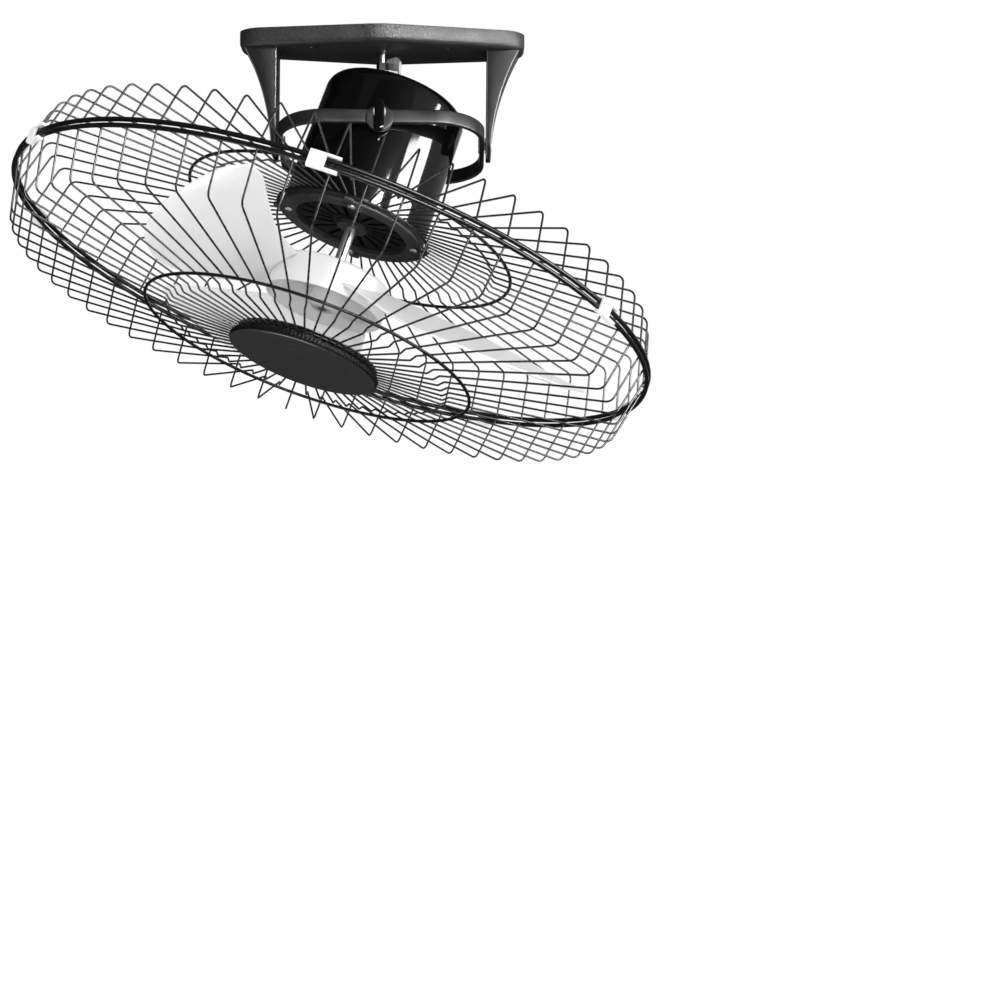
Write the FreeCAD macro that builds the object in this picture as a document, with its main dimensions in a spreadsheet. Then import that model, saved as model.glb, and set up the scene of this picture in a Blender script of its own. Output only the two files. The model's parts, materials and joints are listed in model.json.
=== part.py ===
import FreeCAD, Part
import math
import os
import Sketcher

# Caged ceiling fan whose motor hangs in a gimbal and slowly orbits under its ceiling plate.
# Frame: origin at the centre of the plate's ceiling face, +Z up, X along the plate, millimetres.
# Head frame: origin at the gimbal centre, +Z up the motor's axis. Heights in it are written
# as drops below or rises above the gimbal centre.

V = FreeCAD.Vector
X_AXIS = V(1, 0, 0)
Y_AXIS = V(0, 1, 0)
Z_AXIS = V(0, 0, 1)
HALF_TURN = 180.0
NUT_SIDES = 6
CLOSE = 0.01

SIZES = [
    # Ceiling plate: a six-sided tray, open towards the ceiling.
    ("plate_half_length", 130.0),
    ("plate_mid_half", 60.7),
    ("plate_end_half", 31.0),
    ("plate_height", 16.0),
    ("plate_wall", 3.0),
    ("plate_side_wall", 4.8),
    ("plate_floor", 3.0),
    ("plate_corner", 26.0),
    ("plate_apex_round", 60.0),
    ("ceiling_hole_x", 62.0),
    ("ceiling_hole_y", 26.0),
    ("ceiling_hole_radius", 2.75),
    ("sleeve_radius", 6.5),
    # Arms that hang from the plate and carry the gimbal.
    ("gimbal_drop", 100.0),
    ("arm_gap_half", 95.5),
    ("arm_depth", 48.0),
    ("arm_top_width", 29.5),
    ("arm_tip_width", 4.6),
    ("arm_tip_drop", 14.0),
    ("arm_curve", 210.0),
    ("arm_tip_round", 13.0),
    ("arm_screw_inset", 12.0),
    ("arm_screw_half_pitch", 14.0),
    ("arm_screw_radius", 2.4),
    ("arm_screw_depth", 18.0),
    ("arm_screw_head_radius", 4.5),
    ("arm_screw_head_height", 3.0),
    # Gimbal ring and its two pairs of pivots.
    ("ring_arm_gap", 1.5),
    ("ring_case_gap", 3.8),
    ("ring_wall", 4.5),
    ("ring_height", 16.4),
    ("ring_top_rise", 6.7),
    ("ring_corner", 45.0),
    ("ring_boss_radius", 12.5),
    ("ring_boss_sag", 5.0),
    ("ring_boss_proud", 3.0),
    ("pivot_radius", 4.0),
    ("bush_wall", 1.6),
    ("bush_flange", 1.0),
    ("pivot_cap_half_width", 4.4),
    ("pivot_cap_half_height", 13.5),
    ("pivot_cap_thickness", 3.0),
    ("pivot_cap_sag", 5.0),
    # Fits.
    ("running_clearance", 0.05),
    ("press_clearance", 0.02),
    ("screw_clearance", 0.15),
    ("side_gap", 0.3),
    ("weld_gap", 0.35),
    # Orbit: the motor's axis leans by orbit_tilt, towards orbit_heading from +X, as photographed.
    ("orbit_tilt", 22.25),
    ("orbit_heading", 35.9),
    # Motor case.
    ("case_neck_radius", 66.2),
    ("case_draft", 1.3),
    ("case_wall", 2.5),
    ("case_bottom_drop", 80.0),
    ("case_shoulder_rise", 44.0),
    ("case_crown_inset", 20.2),
    ("case_crown_rise", 52.0),
    ("case_top_rise", 56.0),
    ("case_mouth_radius", 9.0),
    ("case_shoulder_round", 14.0),
    ("pivot_boss_radius", 8.0),
    ("pivot_boss_depth", 9.2),
    ("shield_height", 7.0),
    ("shield_flange_width", 15.0),
    ("shield_recess", 4.6),
    ("shield_hub_radius", 14.0),
    ("shield_vents", 18),
    ("vent_inner", 19.0),
    ("vent_margin", 4.0),
    ("vent_half_width", 1.9),
    ("lug_past_ring", 3.0),
    ("lug_half_width", 5.0),
    ("lug_thickness", 2.5),
    ("shield_screw_inset", 7.5),
    ("shield_screw_angle", 3.0),
    ("shield_screw_radius", 2.0),
    ("shield_screw_head_radius", 3.8),
    ("shield_screw_crown_radius", 3.04),
    ("shield_screw_length", 12.0),
    ("screw_post_radius", 5.5),
    ("screw_post_height", 14.0),
    # Motor works.
    ("stator_tooth", 3.0),
    ("stator_bottom_drop", 52.0),
    ("stator_top_drop", 27.0),
    ("winding_width", 15.0),
    ("winding_gap", 2.0),
    ("winding_height", 10.0),
    ("air_gap", 0.5),
    ("shaft_radius", 5.0),
    ("shaft_spigot_radius", 2.0),
    ("bearing_radius", 11.0),
    ("bearing_height", 8.0),
    ("front_bearing_drop", 82.0),
    ("rear_bearing_rise", 1.0),
    ("bell_skirt_wall", 3.0),
    ("bell_rim_width", 6.8),
    ("bell_floor_rise", 6.0),
    ("bell_top_rise", 10.0),
    ("bell_case_gap", 0.9),
    # Reduction gears between the motor shaft and the orbit crank.
    ("gear_room", 1.635),
    ("gear_addendum", 0.95),
    ("gear_dedendum", 1.3),
    ("pinion_teeth", 12),
    ("wheel_teeth", 60),
    ("gear_pressure_angle", 25.0),
    ("gear_backlash", 0.16),
    ("gear_width", 5.0),
    ("gear_layer", 6.0),
    ("first_layer_rise", 12.0),
    ("shaft_end_gap", 1.0),
    ("gear_pin_radius", 1.5),
    ("gear_collar_radius", 2.6),
    ("gear_pin_spread", 60.0),
    ("gearbox_margin", 2.0),
    ("gearbox_wall", 2.5),
    ("gearbox_top_rise", 35.0),
    # Orbit crank above the motor.
    ("output_radius", 4.0),
    ("output_bush_wall", 2.4),
    ("output_top_rise", 64.0),
    ("crank_foot_rise", 58.0),
    ("crank_foot_radius", 11.0),
    ("crank_strap_half", 10.0),
    ("crank_sheet", 2.5),
    ("crank_ear_rise", 64.5),
    ("crank_ear_radius", 10.0),
    ("crank_riser_reach", 12.5),
    ("crank_wing_half", 12.0),
    ("crank_wing_top", 80.8),
    ("crank_wing_cut", 5.0),
    ("crank_pin_radius", 2.4),
    ("crank_pin_play", 0.2),
    ("crank_pin_foot", 62.5),
    ("crank_nut_radius", 5.6),
    ("crank_nut_height", 8.0),
    ("crank_open_gap", 0.4),
    ("plate_bush_radius", 7.0),
    ("plate_bush_height", 8.0),
    # Fan: hub and three moulded blades.
    ("rim_drop", 144.0),
    ("hub_top_drop", 134.0),
    ("hub_bottom_drop", 165.0),
    ("hub_radius", 55.0),
    ("hub_wall", 3.0),
    ("hub_boss_radius", 12.0),
    ("hub_boss_drop", 152.0),
    ("blade_count", 3),
    ("blade_heading", 256.0),
    ("blade_thickness", 2.4),
    ("blade_tip_radius", 252.0),
    ("blade_high_drop", 136.0),
    ("blade_depth", 53.0),
    ("blade_camber", 0.04),
    ("hub_nut_radius", 14.0),
    ("hub_nut_tip_radius", 9.8),
    ("hub_nut_drop", 168.0),
    # Wire guard, front and rear halves, measured from the rim plane.
    ("guard_radius", 300.0),
    ("rim_wire_radius", 1.9),
    ("rim_half_gap", 2.8),
    ("wire_radius", 1.15),
    ("wire_count", 60),
    ("wire_start_angle", 3.0),
    ("ring_wire_radius", 1.5),
    ("shoulder_radius", 286.5),
    ("rear_shoulder_rise", 45.0),
    ("front_shoulder_drop", 48.0),
    ("shoulder_bend", 8.0),
    ("kink_bend", 3.0),
    ("mid_ring_radius", 153.5),
    ("rear_mid_rise", 50.4),
    ("front_mid_drop", 61.9),
    ("kink_run", 8.5),
    ("rear_kink_step", 5.6),
    ("front_kink_step", 5.0),
    ("rear_hub_ring_gap", 4.0),
    ("rear_wire_overlap", 2.0),
    ("front_hub_ring_radius", 63.0),
    ("front_wire_end", 60.0),
    ("front_hub_drop", 70.5),
    # Guard clips and the plain front cap.
    ("lower_right_clip_angle", 19.0),
    ("lower_clip_angle", 61.5),
    ("lower_left_clip_angle", 166.0),
    ("left_clip_angle", 211.5),
    ("top_clip_angle", 271.7),
    ("right_clip_angle", 327.0),
    ("clip_length", 26.0),
    ("clip_wall", 2.2),
    ("clip_play", 0.4),
    ("clip_lip", 2.0),
    ("cap_radius", 70.0),
    ("cap_face_drop", 78.0),
    ("cap_wall", 2.5),
    # Electrical pieces in the tray.
    ("terminal_length", 34.0),
    ("terminal_width", 16.0),
    ("terminal_height", 10.5),
    ("capacitor_length", 38.0),
    ("capacitor_width", 18.0),
    ("capacitor_height", 11.0),
    ("tray_piece_x", 30.0),
]


class Size:
    """A size that carries both its value and the sheet formula that gives it."""

    def __init__(self, value, formula):
        self.value = value
        self.formula = formula

    def __add__(self, other):
        other = as_size(other)
        return Size(self.value + other.value, f"({self.formula} + {other.formula})")

    def __sub__(self, other):
        other = as_size(other)
        return Size(self.value - other.value, f"({self.formula} - {other.formula})")

    def __mul__(self, other):
        other = as_size(other)
        return Size(self.value * other.value, f"({self.formula} * {other.formula})")

    def __truediv__(self, other):
        other = as_size(other)
        return Size(self.value / other.value, f"({self.formula} / {other.formula})")

    def __neg__(self):
        return Size(-self.value, f"(0 - {self.formula})")


def as_size(number):
    """Turns a plain number into a size."""
    if isinstance(number, Size):
        return number
    return Size(float(number), repr(float(number)))


class Sheet:
    """Reads the driving dimensions by their names."""

    def __getattr__(self, name):
        return Size(float(sheet.get(name)), f"sizes.{name}")


doc = FreeCAD.newDocument("orbit_ceiling_fan")
sheet = doc.addObject("Spreadsheet::Sheet", "sizes")
for row, (alias, number) in enumerate(SIZES, start=1):
    sheet.set(f"A{row}", alias)
    sheet.set(f"B{row}", str(number))
    sheet.setAlias(f"B{row}", alias)
doc.recompute()
s = Sheet()

# Sizes that follow the motor case and the arms, each by a named gap or wall.
motor_radius = s.case_neck_radius + s.case_draft
case_crown_radius = s.case_neck_radius - s.case_crown_inset
pivot_boss_inner = s.case_neck_radius - s.pivot_boss_depth
ring_half_length = s.arm_gap_half - s.ring_arm_gap
ring_half_width = s.case_neck_radius + s.ring_case_gap + s.ring_wall
shield_flange_inner = motor_radius - s.shield_flange_width
shield_screw_circle = motor_radius - s.shield_screw_inset
vent_outer = shield_flange_inner - s.vent_margin
rear_hub_ring_radius = motor_radius + s.rear_hub_ring_gap
rear_wire_end = rear_hub_ring_radius - s.rear_wire_overlap
lug_reach = rear_hub_ring_radius + s.lug_past_ring
bell_radius = s.case_neck_radius - s.case_wall - s.bell_case_gap
bell_skirt_outer = bell_radius - s.bell_rim_width
bell_skirt_inner = bell_skirt_outer - s.bell_skirt_wall
winding_outer = bell_skirt_inner - s.winding_gap
winding_inner = winding_outer - s.winding_width
stator_bore = winding_inner - s.stator_tooth
gearbox_radius = bell_skirt_inner - s.gearbox_margin
gear_train_reach = (s.pinion_teeth + s.wheel_teeth) / 2 + s.wheel_teeth / 2 + s.gear_addendum
gear_module = (gearbox_radius - s.gearbox_wall - s.gear_room) / gear_train_reach

# The leaning motor: the ring tilts about X, then the motor tilts about the ring's Y.
tilt = math.radians(s.orbit_tilt.value)
heading = math.radians(s.orbit_heading.value)
motor_lean = math.asin(math.sin(tilt) * math.cos(heading))
ring_lean = -math.atan2(math.sin(tilt) * math.sin(heading), math.cos(tilt))
ring_turn = FreeCAD.Rotation(X_AXIS, math.degrees(ring_lean))
motor_turn = FreeCAD.Rotation(Y_AXIS, math.degrees(motor_lean))
gimbal_centre = V(0, 0, -s.gimbal_drop.value)
WORLD = FreeCAD.Placement()
RING = FreeCAD.Placement(gimbal_centre, ring_turn)
HEAD = FreeCAD.Placement(gimbal_centre, ring_turn.multiply(motor_turn))
upright = HEAD.Rotation.inverted().multVec(Z_AXIS)
CRANK = HEAD.multiply(
    FreeCAD.Placement(V(), FreeCAD.Rotation(Z_AXIS, math.degrees(math.atan2(upright.y, upright.x)))))
# Upright frame: the crank pin's own axis, which stays vertical over the gimbal centre.
PIN = FreeCAD.Placement(gimbal_centre, FreeCAD.Rotation())

sub_parts = []


def finish(piece, label, frame):
    """Names a finished sub-part and puts it in its frame."""
    piece.Label = label
    piece.Placement = frame.multiply(piece.Placement)
    sub_parts.append(piece)
    return piece


# Drawing helpers.

def new_body(name):
    return doc.addObject("PartDesign::Body", name + "_body")


def new_sketch(body, plane_role, name, lift=None):
    """An empty sketch on one of the body's own planes, lifted along the plane's normal."""
    sketch = body.newObject("Sketcher::SketchObject", name)
    for plane in body.Origin.OriginFeatures:
        if plane.Role == plane_role:
            sketch.AttachmentSupport = (plane, [""])
    sketch.MapMode = "FlatFace"
    if lift is not None:
        sketch.setExpression("AttachmentOffset.Base.z", lift.formula)
    return sketch


def pin_point(sketch, curve, end, point):
    """Holds one end of a curve at a point given by two sizes."""
    for kind, size in zip(("DistanceX", "DistanceY"), point):
        size = as_size(size)
        index = sketch.addConstraint(Sketcher.Constraint(kind, -1, 1, curve, end, size.value))
        sketch.setExpression(f"Constraints[{index}]", size.formula)


def flat(point):
    return V(as_size(point[0]).value, as_size(point[1]).value, 0)


def draw_outline(sketch, corners):
    """A closed outline of straight lines through the corners."""
    first = sketch.GeometryCount
    count = len(corners)
    for i, corner in enumerate(corners):
        sketch.addGeometry(Part.LineSegment(flat(corner), flat(corners[(i + 1) % count])))
    for i, corner in enumerate(corners):
        sketch.addConstraint(
            Sketcher.Constraint("Coincident", first + i, 2, first + (i + 1) % count, 1))
        pin_point(sketch, first + i, 1, corner)


def draw_circle(sketch, centre, radius):
    circle = sketch.addGeometry(Part.Circle(flat(centre), Z_AXIS, radius.value))
    pin_point(sketch, circle, 3, centre)
    index = sketch.addConstraint(Sketcher.Constraint("Radius", circle, radius.value))
    sketch.setExpression(f"Constraints[{index}]", radius.formula)


def add_pad(body, sketch, length, midplane=False, backwards=False):
    pad = body.newObject("PartDesign::Pad", sketch.Name + "_pad")
    pad.Profile = sketch
    pad.setExpression("Length", length.formula)
    pad.Midplane = midplane
    pad.Reversed = backwards
    doc.recompute()
    return pad


def add_pocket(body, sketch, length, midplane=False, backwards=False):
    """Cuts a sketch out of the body and makes sure that something was cut."""
    before = body.Shape.Volume
    pocket = body.newObject("PartDesign::Pocket", sketch.Name + "_pocket")
    pocket.Profile = sketch
    pocket.setExpression("Length", length.formula)
    pocket.Midplane = midplane
    pocket.Reversed = backwards
    doc.recompute()
    if body.Shape.Volume >= before:
        raise RuntimeError(f"{pocket.Name} cuts nothing")
    return pocket


def add_fillet(body, radius, wanted):
    """Rounds the edges of the body's last feature that the test picks."""
    base = body.Tip
    names = []
    for i, edge in enumerate(base.Shape.Edges, start=1):
        if wanted(edge):
            names.append(f"Edge{i}")
    fillet = body.newObject("PartDesign::Fillet", base.Name + "_fillet")
    fillet.Base = (base, names)
    fillet.setExpression("Radius", radius.formula)
    doc.recompute()
    return fillet


def runs_along(edge, axis):
    """True for a straight edge along the axis."""
    if not isinstance(edge.Curve, Part.Line):
        return False
    return abs(abs(edge.tangentAt(edge.FirstParameter).dot(axis)) - 1) < 1e-6


def turned(name, outlines, axis="Z"):
    """A lathe-turned body: outlines of (radius, height) about Z, or (place, radius) about X or Y."""
    body = new_body(name)
    plane, line = {
        "Z": ("XZ_Plane", "V_Axis"),
        "X": ("XZ_Plane", "H_Axis"),
        "Y": ("YZ_Plane", "H_Axis"),
    }[axis]
    sketch = new_sketch(body, plane, name + "_profile")
    for corners in outlines:
        draw_outline(sketch, corners)
    turn = body.newObject("PartDesign::Revolution", name + "_turn")
    turn.Profile = sketch
    turn.ReferenceAxis = (sketch, [line])
    turn.Angle = 360
    doc.recompute()
    return body


def sleeve(inner, outer, low, high):
    """The outline of a plain sleeve or, with no bore, of a rod."""
    return [(inner, low), (outer, low), (outer, high), (inner, high)]


def lying(place_a, place_b, inner, outer):
    """The outline of a sleeve that lies along its axis from one place to another."""
    return [(place_a, inner), (place_b, inner), (place_b, outer), (place_a, outer)]


def wire_ring(name, major, minor, height):
    """A ring of round wire about the motor's axis."""
    ring = doc.addObject("Part::Torus", name + "_torus")
    ring.setExpression("Radius1", major.formula)
    ring.setExpression("Radius2", minor.formula)
    ring.setExpression("Placement.Base.z", height.formula)
    doc.recompute()
    plain = doc.addObject("Part::Feature", name)
    plain.Shape = ring.Shape
    return plain


def made(name, shape):
    """A sub-part whose shape is worked out here from the sheet's sizes."""
    piece = doc.addObject("Part::Feature", name)
    piece.Shape = shape
    return piece


def copies(name, source, places):
    """One sub-part of several equal solids."""
    solids = []
    for place in places:
        solid = source.Shape.copy()
        solid.Placement = place.multiply(solid.Placement)
        solids.append(solid)
    return made(name, Part.makeCompound(solids))


def around(count, start=0.0):
    """Placements evenly spaced about Z, the first at the start angle in degrees."""
    places = []
    for i in range(int(count)):
        places.append(FreeCAD.Placement(V(), FreeCAD.Rotation(Z_AXIS, start + 360.0 * i / count)))
    return places


# Ceiling plate and what it holds.

def hexagon(half_length, mid_half, end_half):
    return [
        (half_length, -end_half), (half_length, end_half), (0, mid_half),
        (-half_length, end_half), (-half_length, -end_half), (0, -mid_half),
    ]


def four_corners(x, y):
    return [(x, y), (-x, y), (-x, -y), (x, -y)]


arm_screw_x = s.arm_gap_half + s.arm_screw_inset
plate_inside = s.plate_height - s.plate_floor


def base_plate():
    body = new_body("base_plate")
    outer = new_sketch(body, "XY_Plane", "plate_outline")
    draw_outline(outer, hexagon(s.plate_half_length, s.plate_mid_half, s.plate_end_half))
    add_pad(body, outer, s.plate_height, backwards=True)
    inner = new_sketch(body, "XY_Plane", "tray_outline")
    draw_outline(inner, hexagon(s.plate_half_length - s.plate_wall, s.plate_mid_half - s.plate_side_wall,
                                s.plate_end_half - s.plate_wall))
    add_pocket(body, inner, plate_inside)
    between = s.plate_half_length.value - s.plate_wall.value / 2
    near_middle = s.plate_corner.value
    add_fillet(body, s.plate_corner - s.plate_wall, lambda e: runs_along(e, Z_AXIS)
               and near_middle < abs(e.CenterOfMass.x) < between)
    add_fillet(body, s.plate_corner, lambda e: runs_along(e, Z_AXIS) and abs(e.CenterOfMass.x) > between)
    add_fillet(body, s.plate_apex_round,
               lambda e: runs_along(e, Z_AXIS) and abs(e.CenterOfMass.x) < near_middle)
    posts = new_sketch(body, "XY_Plane", "sleeve_outlines")
    for x, y in four_corners(s.ceiling_hole_x, s.ceiling_hole_y):
        draw_circle(posts, (x, y), s.sleeve_radius)
    add_pad(body, posts, s.plate_height, backwards=True)
    holes = new_sketch(body, "XY_Plane", "plate_holes")
    for x, y in four_corners(s.ceiling_hole_x, s.ceiling_hole_y):
        draw_circle(holes, (x, y), s.ceiling_hole_radius)
    for x, y in four_corners(arm_screw_x, s.arm_screw_half_pitch):
        draw_circle(holes, (x, y), s.arm_screw_radius + s.screw_clearance)
    draw_circle(holes, (0, 0), s.plate_bush_radius + s.press_clearance)
    add_pocket(body, holes, s.plate_height * 2, midplane=True)
    return body


finish(base_plate(), "base_plate", WORLD)

arm_top = -s.plate_height
arm_tip = -s.gimbal_drop - s.arm_tip_drop
arm_outer_bush = s.pivot_radius + s.running_clearance + s.bush_wall


def right_arm():
    """One hanging arm: flat inside, hollowed outside by one long curve, round at the tip."""
    body = new_body("right_arm")
    outline = new_sketch(body, "XZ_Plane", "arm_outline")
    corners = [
        (s.arm_gap_half, arm_tip), (s.arm_gap_half, arm_top),
        (s.arm_gap_half + s.arm_top_width, arm_top), (s.arm_gap_half + s.arm_tip_width, arm_tip),
    ]
    start, stop = flat(corners[2]), flat(corners[3])
    chord = stop - start
    outwards = V(-chord.y, chord.x, 0).normalize()
    sag = s.arm_curve.value - math.sqrt(s.arm_curve.value ** 2 - (chord.Length / 2) ** 2)
    inner_face = outline.addGeometry(Part.LineSegment(flat(corners[0]), flat(corners[1])))
    top_face = outline.addGeometry(Part.LineSegment(flat(corners[1]), start))
    curve = outline.addGeometry(Part.Arc(start, (start + stop) / 2 - outwards * sag, stop))
    foot = outline.addGeometry(Part.LineSegment(stop, flat(corners[0])))
    joins = (
        (inner_face, 2, top_face, 1), (top_face, 2, curve, 1),
        (curve, 2, foot, 1), (foot, 2, inner_face, 1),
    )
    for join in joins:
        outline.addConstraint(Sketcher.Constraint("Coincident", *join))
    for line, end, corner in ((inner_face, 1, 0), (inner_face, 2, 1), (top_face, 2, 2), (foot, 1, 3)):
        pin_point(outline, line, end, corners[corner])
    bend = outline.addConstraint(Sketcher.Constraint("Radius", curve, s.arm_curve.value))
    outline.setExpression(f"Constraints[{bend}]", s.arm_curve.formula)
    add_pad(body, outline, s.arm_depth, midplane=True)
    add_fillet(body, s.arm_tip_round,
               lambda e: runs_along(e, X_AXIS) and e.CenterOfMass.z < arm_tip.value + CLOSE)
    bore = new_sketch(body, "YZ_Plane", "arm_bore")
    draw_circle(bore, (0, -s.gimbal_drop), arm_outer_bush + s.press_clearance)
    add_pocket(body, bore, s.plate_half_length * 2, midplane=True)
    screws = new_sketch(body, "XY_Plane", "arm_screw_holes", lift=arm_top)
    for way in (1, -1):
        draw_circle(screws, (arm_screw_x, s.arm_screw_half_pitch * way),
                    s.arm_screw_radius + s.screw_clearance)
    add_pocket(body, screws, s.arm_screw_depth + s.side_gap)
    return body


def mirrored_arm(source):
    """The other arm: the same moulding, mirrored across the middle of the plate."""
    mirror = doc.addObject("Part::Mirroring", "left_arm_mirror")
    mirror.Source = source
    mirror.Normal = X_AXIS
    doc.recompute()
    return mirror


first_arm = finish(right_arm(), "right_arm", WORLD)
finish(mirrored_arm(first_arm), "left_arm", WORLD)


def arm_screws():
    head_low = -plate_inside
    tip = arm_top - s.arm_screw_depth
    screw = turned("arm_screw", [[
        (0, tip), (s.arm_screw_radius, tip), (s.arm_screw_radius, head_low),
        (s.arm_screw_head_radius, head_low), (s.arm_screw_head_radius, head_low + s.arm_screw_head_height),
        (0, head_low + s.arm_screw_head_height),
    ]])
    spots = four_corners(arm_screw_x.value, s.arm_screw_half_pitch.value)
    places = [FreeCAD.Placement(V(x, y, 0), FreeCAD.Rotation()) for x, y in spots]
    return copies("arm_screws", screw, places)


finish(arm_screws(), "arm_screws", WORLD)

# The ring's pins lie along X in flanged bushes in the arms; the motor's lie along the ring's Y.
pin_hole = s.pivot_radius + s.running_clearance
flange_radius = arm_outer_bush + s.bush_wall
arm_at_pivot = s.arm_gap_half + s.arm_tip_width


def flanged_bush(name, flange_face, flange_seat, end, axis, frame):
    """Two equal bushes, one on each side, each with a flange on its inner side."""
    outlines = []
    for side in (1, -1):
        outlines.append([
            (flange_face * side, pin_hole), (end * side, pin_hole), (end * side, arm_outer_bush),
            (flange_seat * side, arm_outer_bush), (flange_seat * side, flange_radius),
            (flange_face * side, flange_radius),
        ])
    return finish(turned(name, outlines, axis), name, frame)


flanged_bush("arm_bushes", s.arm_gap_half - s.bush_flange, s.arm_gap_half, arm_at_pivot, "X",
             FreeCAD.Placement(gimbal_centre, FreeCAD.Rotation()))


def plate_bush():
    """The bush over the gimbal centre that the orbit crank's pin turns in."""
    bore = s.crank_pin_radius + s.crank_pin_play
    return turned("plate_bush", [sleeve(bore, s.plate_bush_radius, -s.plate_height,
                                        -s.plate_height + s.plate_bush_height)])


finish(plate_bush(), "plate_bush", WORLD)


def tray_piece(name, x, length, width, height):
    """A rounded box that stands on the tray's floor."""
    body = new_body(name)
    outline = new_sketch(body, "XY_Plane", name + "_outline", lift=-plate_inside)
    draw_outline(outline, [(x - length / 2, -width / 2), (x + length / 2, -width / 2),
                           (x + length / 2, width / 2), (x - length / 2, width / 2)])
    add_pad(body, outline, height)
    return body


finish(tray_piece("terminal_block", s.tray_piece_x, s.terminal_length, s.terminal_width, s.terminal_height),
       "terminal_block", WORLD)
finish(tray_piece("run_capacitor", -s.tray_piece_x, s.capacitor_length, s.capacitor_width,
                  s.capacitor_height),
       "run_capacitor", WORLD)

# Gimbal ring, in its own frame: X through the arms, Y through the motor's pivots.
ring_inner_length = ring_half_length - s.ring_wall
ring_inner_width = ring_half_width - s.ring_wall
boss_face = ring_half_width + s.ring_boss_proud


def draw_rounded_rectangle(sketch, half_x, half_y, radius):
    """A rectangle about the origin with round corners, each held by its two ends and its radius."""
    first = sketch.GeometryCount
    reach_x, reach_y = half_x - radius, half_y - radius
    ends = [
        ((-reach_x, -half_y), (reach_x, -half_y)), ((half_x, -reach_y), (half_x, reach_y)),
        ((reach_x, half_y), (-reach_x, half_y)), ((-half_x, reach_y), (-half_x, -reach_y)),
    ]
    for start, stop in ends:
        line = sketch.addGeometry(Part.LineSegment(flat(start), flat(stop)))
        pin_point(sketch, line, 1, start)
        pin_point(sketch, line, 2, stop)
    for i, (across, along) in enumerate(((1, -1), (1, 1), (-1, 1), (-1, -1))):
        centre = V(reach_x.value * across, reach_y.value * along, 0)
        start_angle = math.radians(90 * (i - 1))
        circle = Part.Circle(centre, Z_AXIS, radius.value)
        arc = sketch.addGeometry(Part.ArcOfCircle(circle, start_angle, start_angle + math.pi / 2))
        sketch.addConstraint(Sketcher.Constraint("Coincident", arc, 1, first + i, 2))
        sketch.addConstraint(Sketcher.Constraint("Coincident", arc, 2, first + (i + 1) % 4, 1))
        bend = sketch.addConstraint(Sketcher.Constraint("Radius", arc, radius.value))
        sketch.setExpression(f"Constraints[{bend}]", radius.formula)


def gimbal_ring():
    body = new_body("gimbal_ring")
    outer = new_sketch(body, "XY_Plane", "ring_outer", s.ring_top_rise)
    draw_rounded_rectangle(outer, ring_half_length, ring_half_width, s.ring_corner)
    add_pad(body, outer, s.ring_height, backwards=True)
    bosses = new_sketch(body, "XZ_Plane", "ring_bosses")
    draw_circle(bosses, (0, -s.ring_boss_sag), s.ring_boss_radius)
    add_pad(body, bosses, boss_face * 2, midplane=True)
    ends = new_sketch(body, "YZ_Plane", "ring_end_bosses")
    draw_circle(ends, (0, 0), flange_radius + s.bush_wall)
    add_pad(body, ends, ring_half_length * 2, midplane=True)
    inner = new_sketch(body, "XY_Plane", "ring_inner")
    draw_rounded_rectangle(inner, ring_inner_length, ring_inner_width, s.ring_corner - s.ring_wall)
    add_pocket(body, inner, ring_half_width * 2, midplane=True)
    for plane, radius in (("XZ_Plane", arm_outer_bush), ("YZ_Plane", s.pivot_radius)):
        bores = new_sketch(body, plane, "ring_bore_" + plane[:2].lower())
        draw_circle(bores, (0, 0), radius + s.press_clearance)
        add_pocket(body, bores, s.plate_half_length * 2, midplane=True)
    return body


finish(gimbal_ring(), "gimbal_ring", RING)


def ring_pivot_pins():
    """Two headed pins, pressed into the ring's ends, that turn in the arms' bushes."""
    head = ring_inner_length - s.bush_flange
    outlines = []
    for side in (1, -1):
        outlines.append([
            (head * side, 0), (arm_at_pivot * side, 0), (arm_at_pivot * side, s.pivot_radius),
            (ring_inner_length * side, s.pivot_radius), (ring_inner_length * side, flange_radius),
            (head * side, flange_radius),
        ])
    return turned("ring_pivot_pins", outlines, "X")


finish(ring_pivot_pins(), "ring_pivot_pins", RING)
flanged_bush("ring_bushes", ring_inner_width - s.bush_flange, ring_inner_width, boss_face, "Y", RING)


def pivot_caps():
    """The upright oblong caps that close the ring's front and back bosses."""
    half_x = s.pivot_cap_half_width
    straight = s.pivot_cap_half_height.value - half_x.value
    thick = s.pivot_cap_thickness.value
    face = boss_face.value + s.side_gap.value
    bar = Part.makeBox(half_x.value * 2, thick, straight * 2, V(-half_x.value, 0, -straight))
    for way in (1, -1):
        bar = bar.fuse(Part.makeCylinder(half_x.value, thick, V(0, 0, straight * way), Y_AXIS))
    bar = bar.removeSplitter()
    back = bar.copy()
    bar.translate(V(0, -face - thick, -s.pivot_cap_sag.value))
    back.translate(V(0, face, -s.pivot_cap_sag.value))
    return made("pivot_caps", Part.makeCompound([bar, back]))


finish(pivot_caps(), "pivot_caps", RING)

# Motor case and works, in the head frame.
case_bottom = -s.case_bottom_drop
shield_bottom = case_bottom - s.shield_height


def screw_circle_places():
    places = []
    for turn in around(4, s.shield_screw_angle.value):
        outwards = FreeCAD.Placement(V(shield_screw_circle.value, 0, 0), FreeCAD.Rotation())
        places.append(turn.multiply(outwards))
    return places


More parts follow.
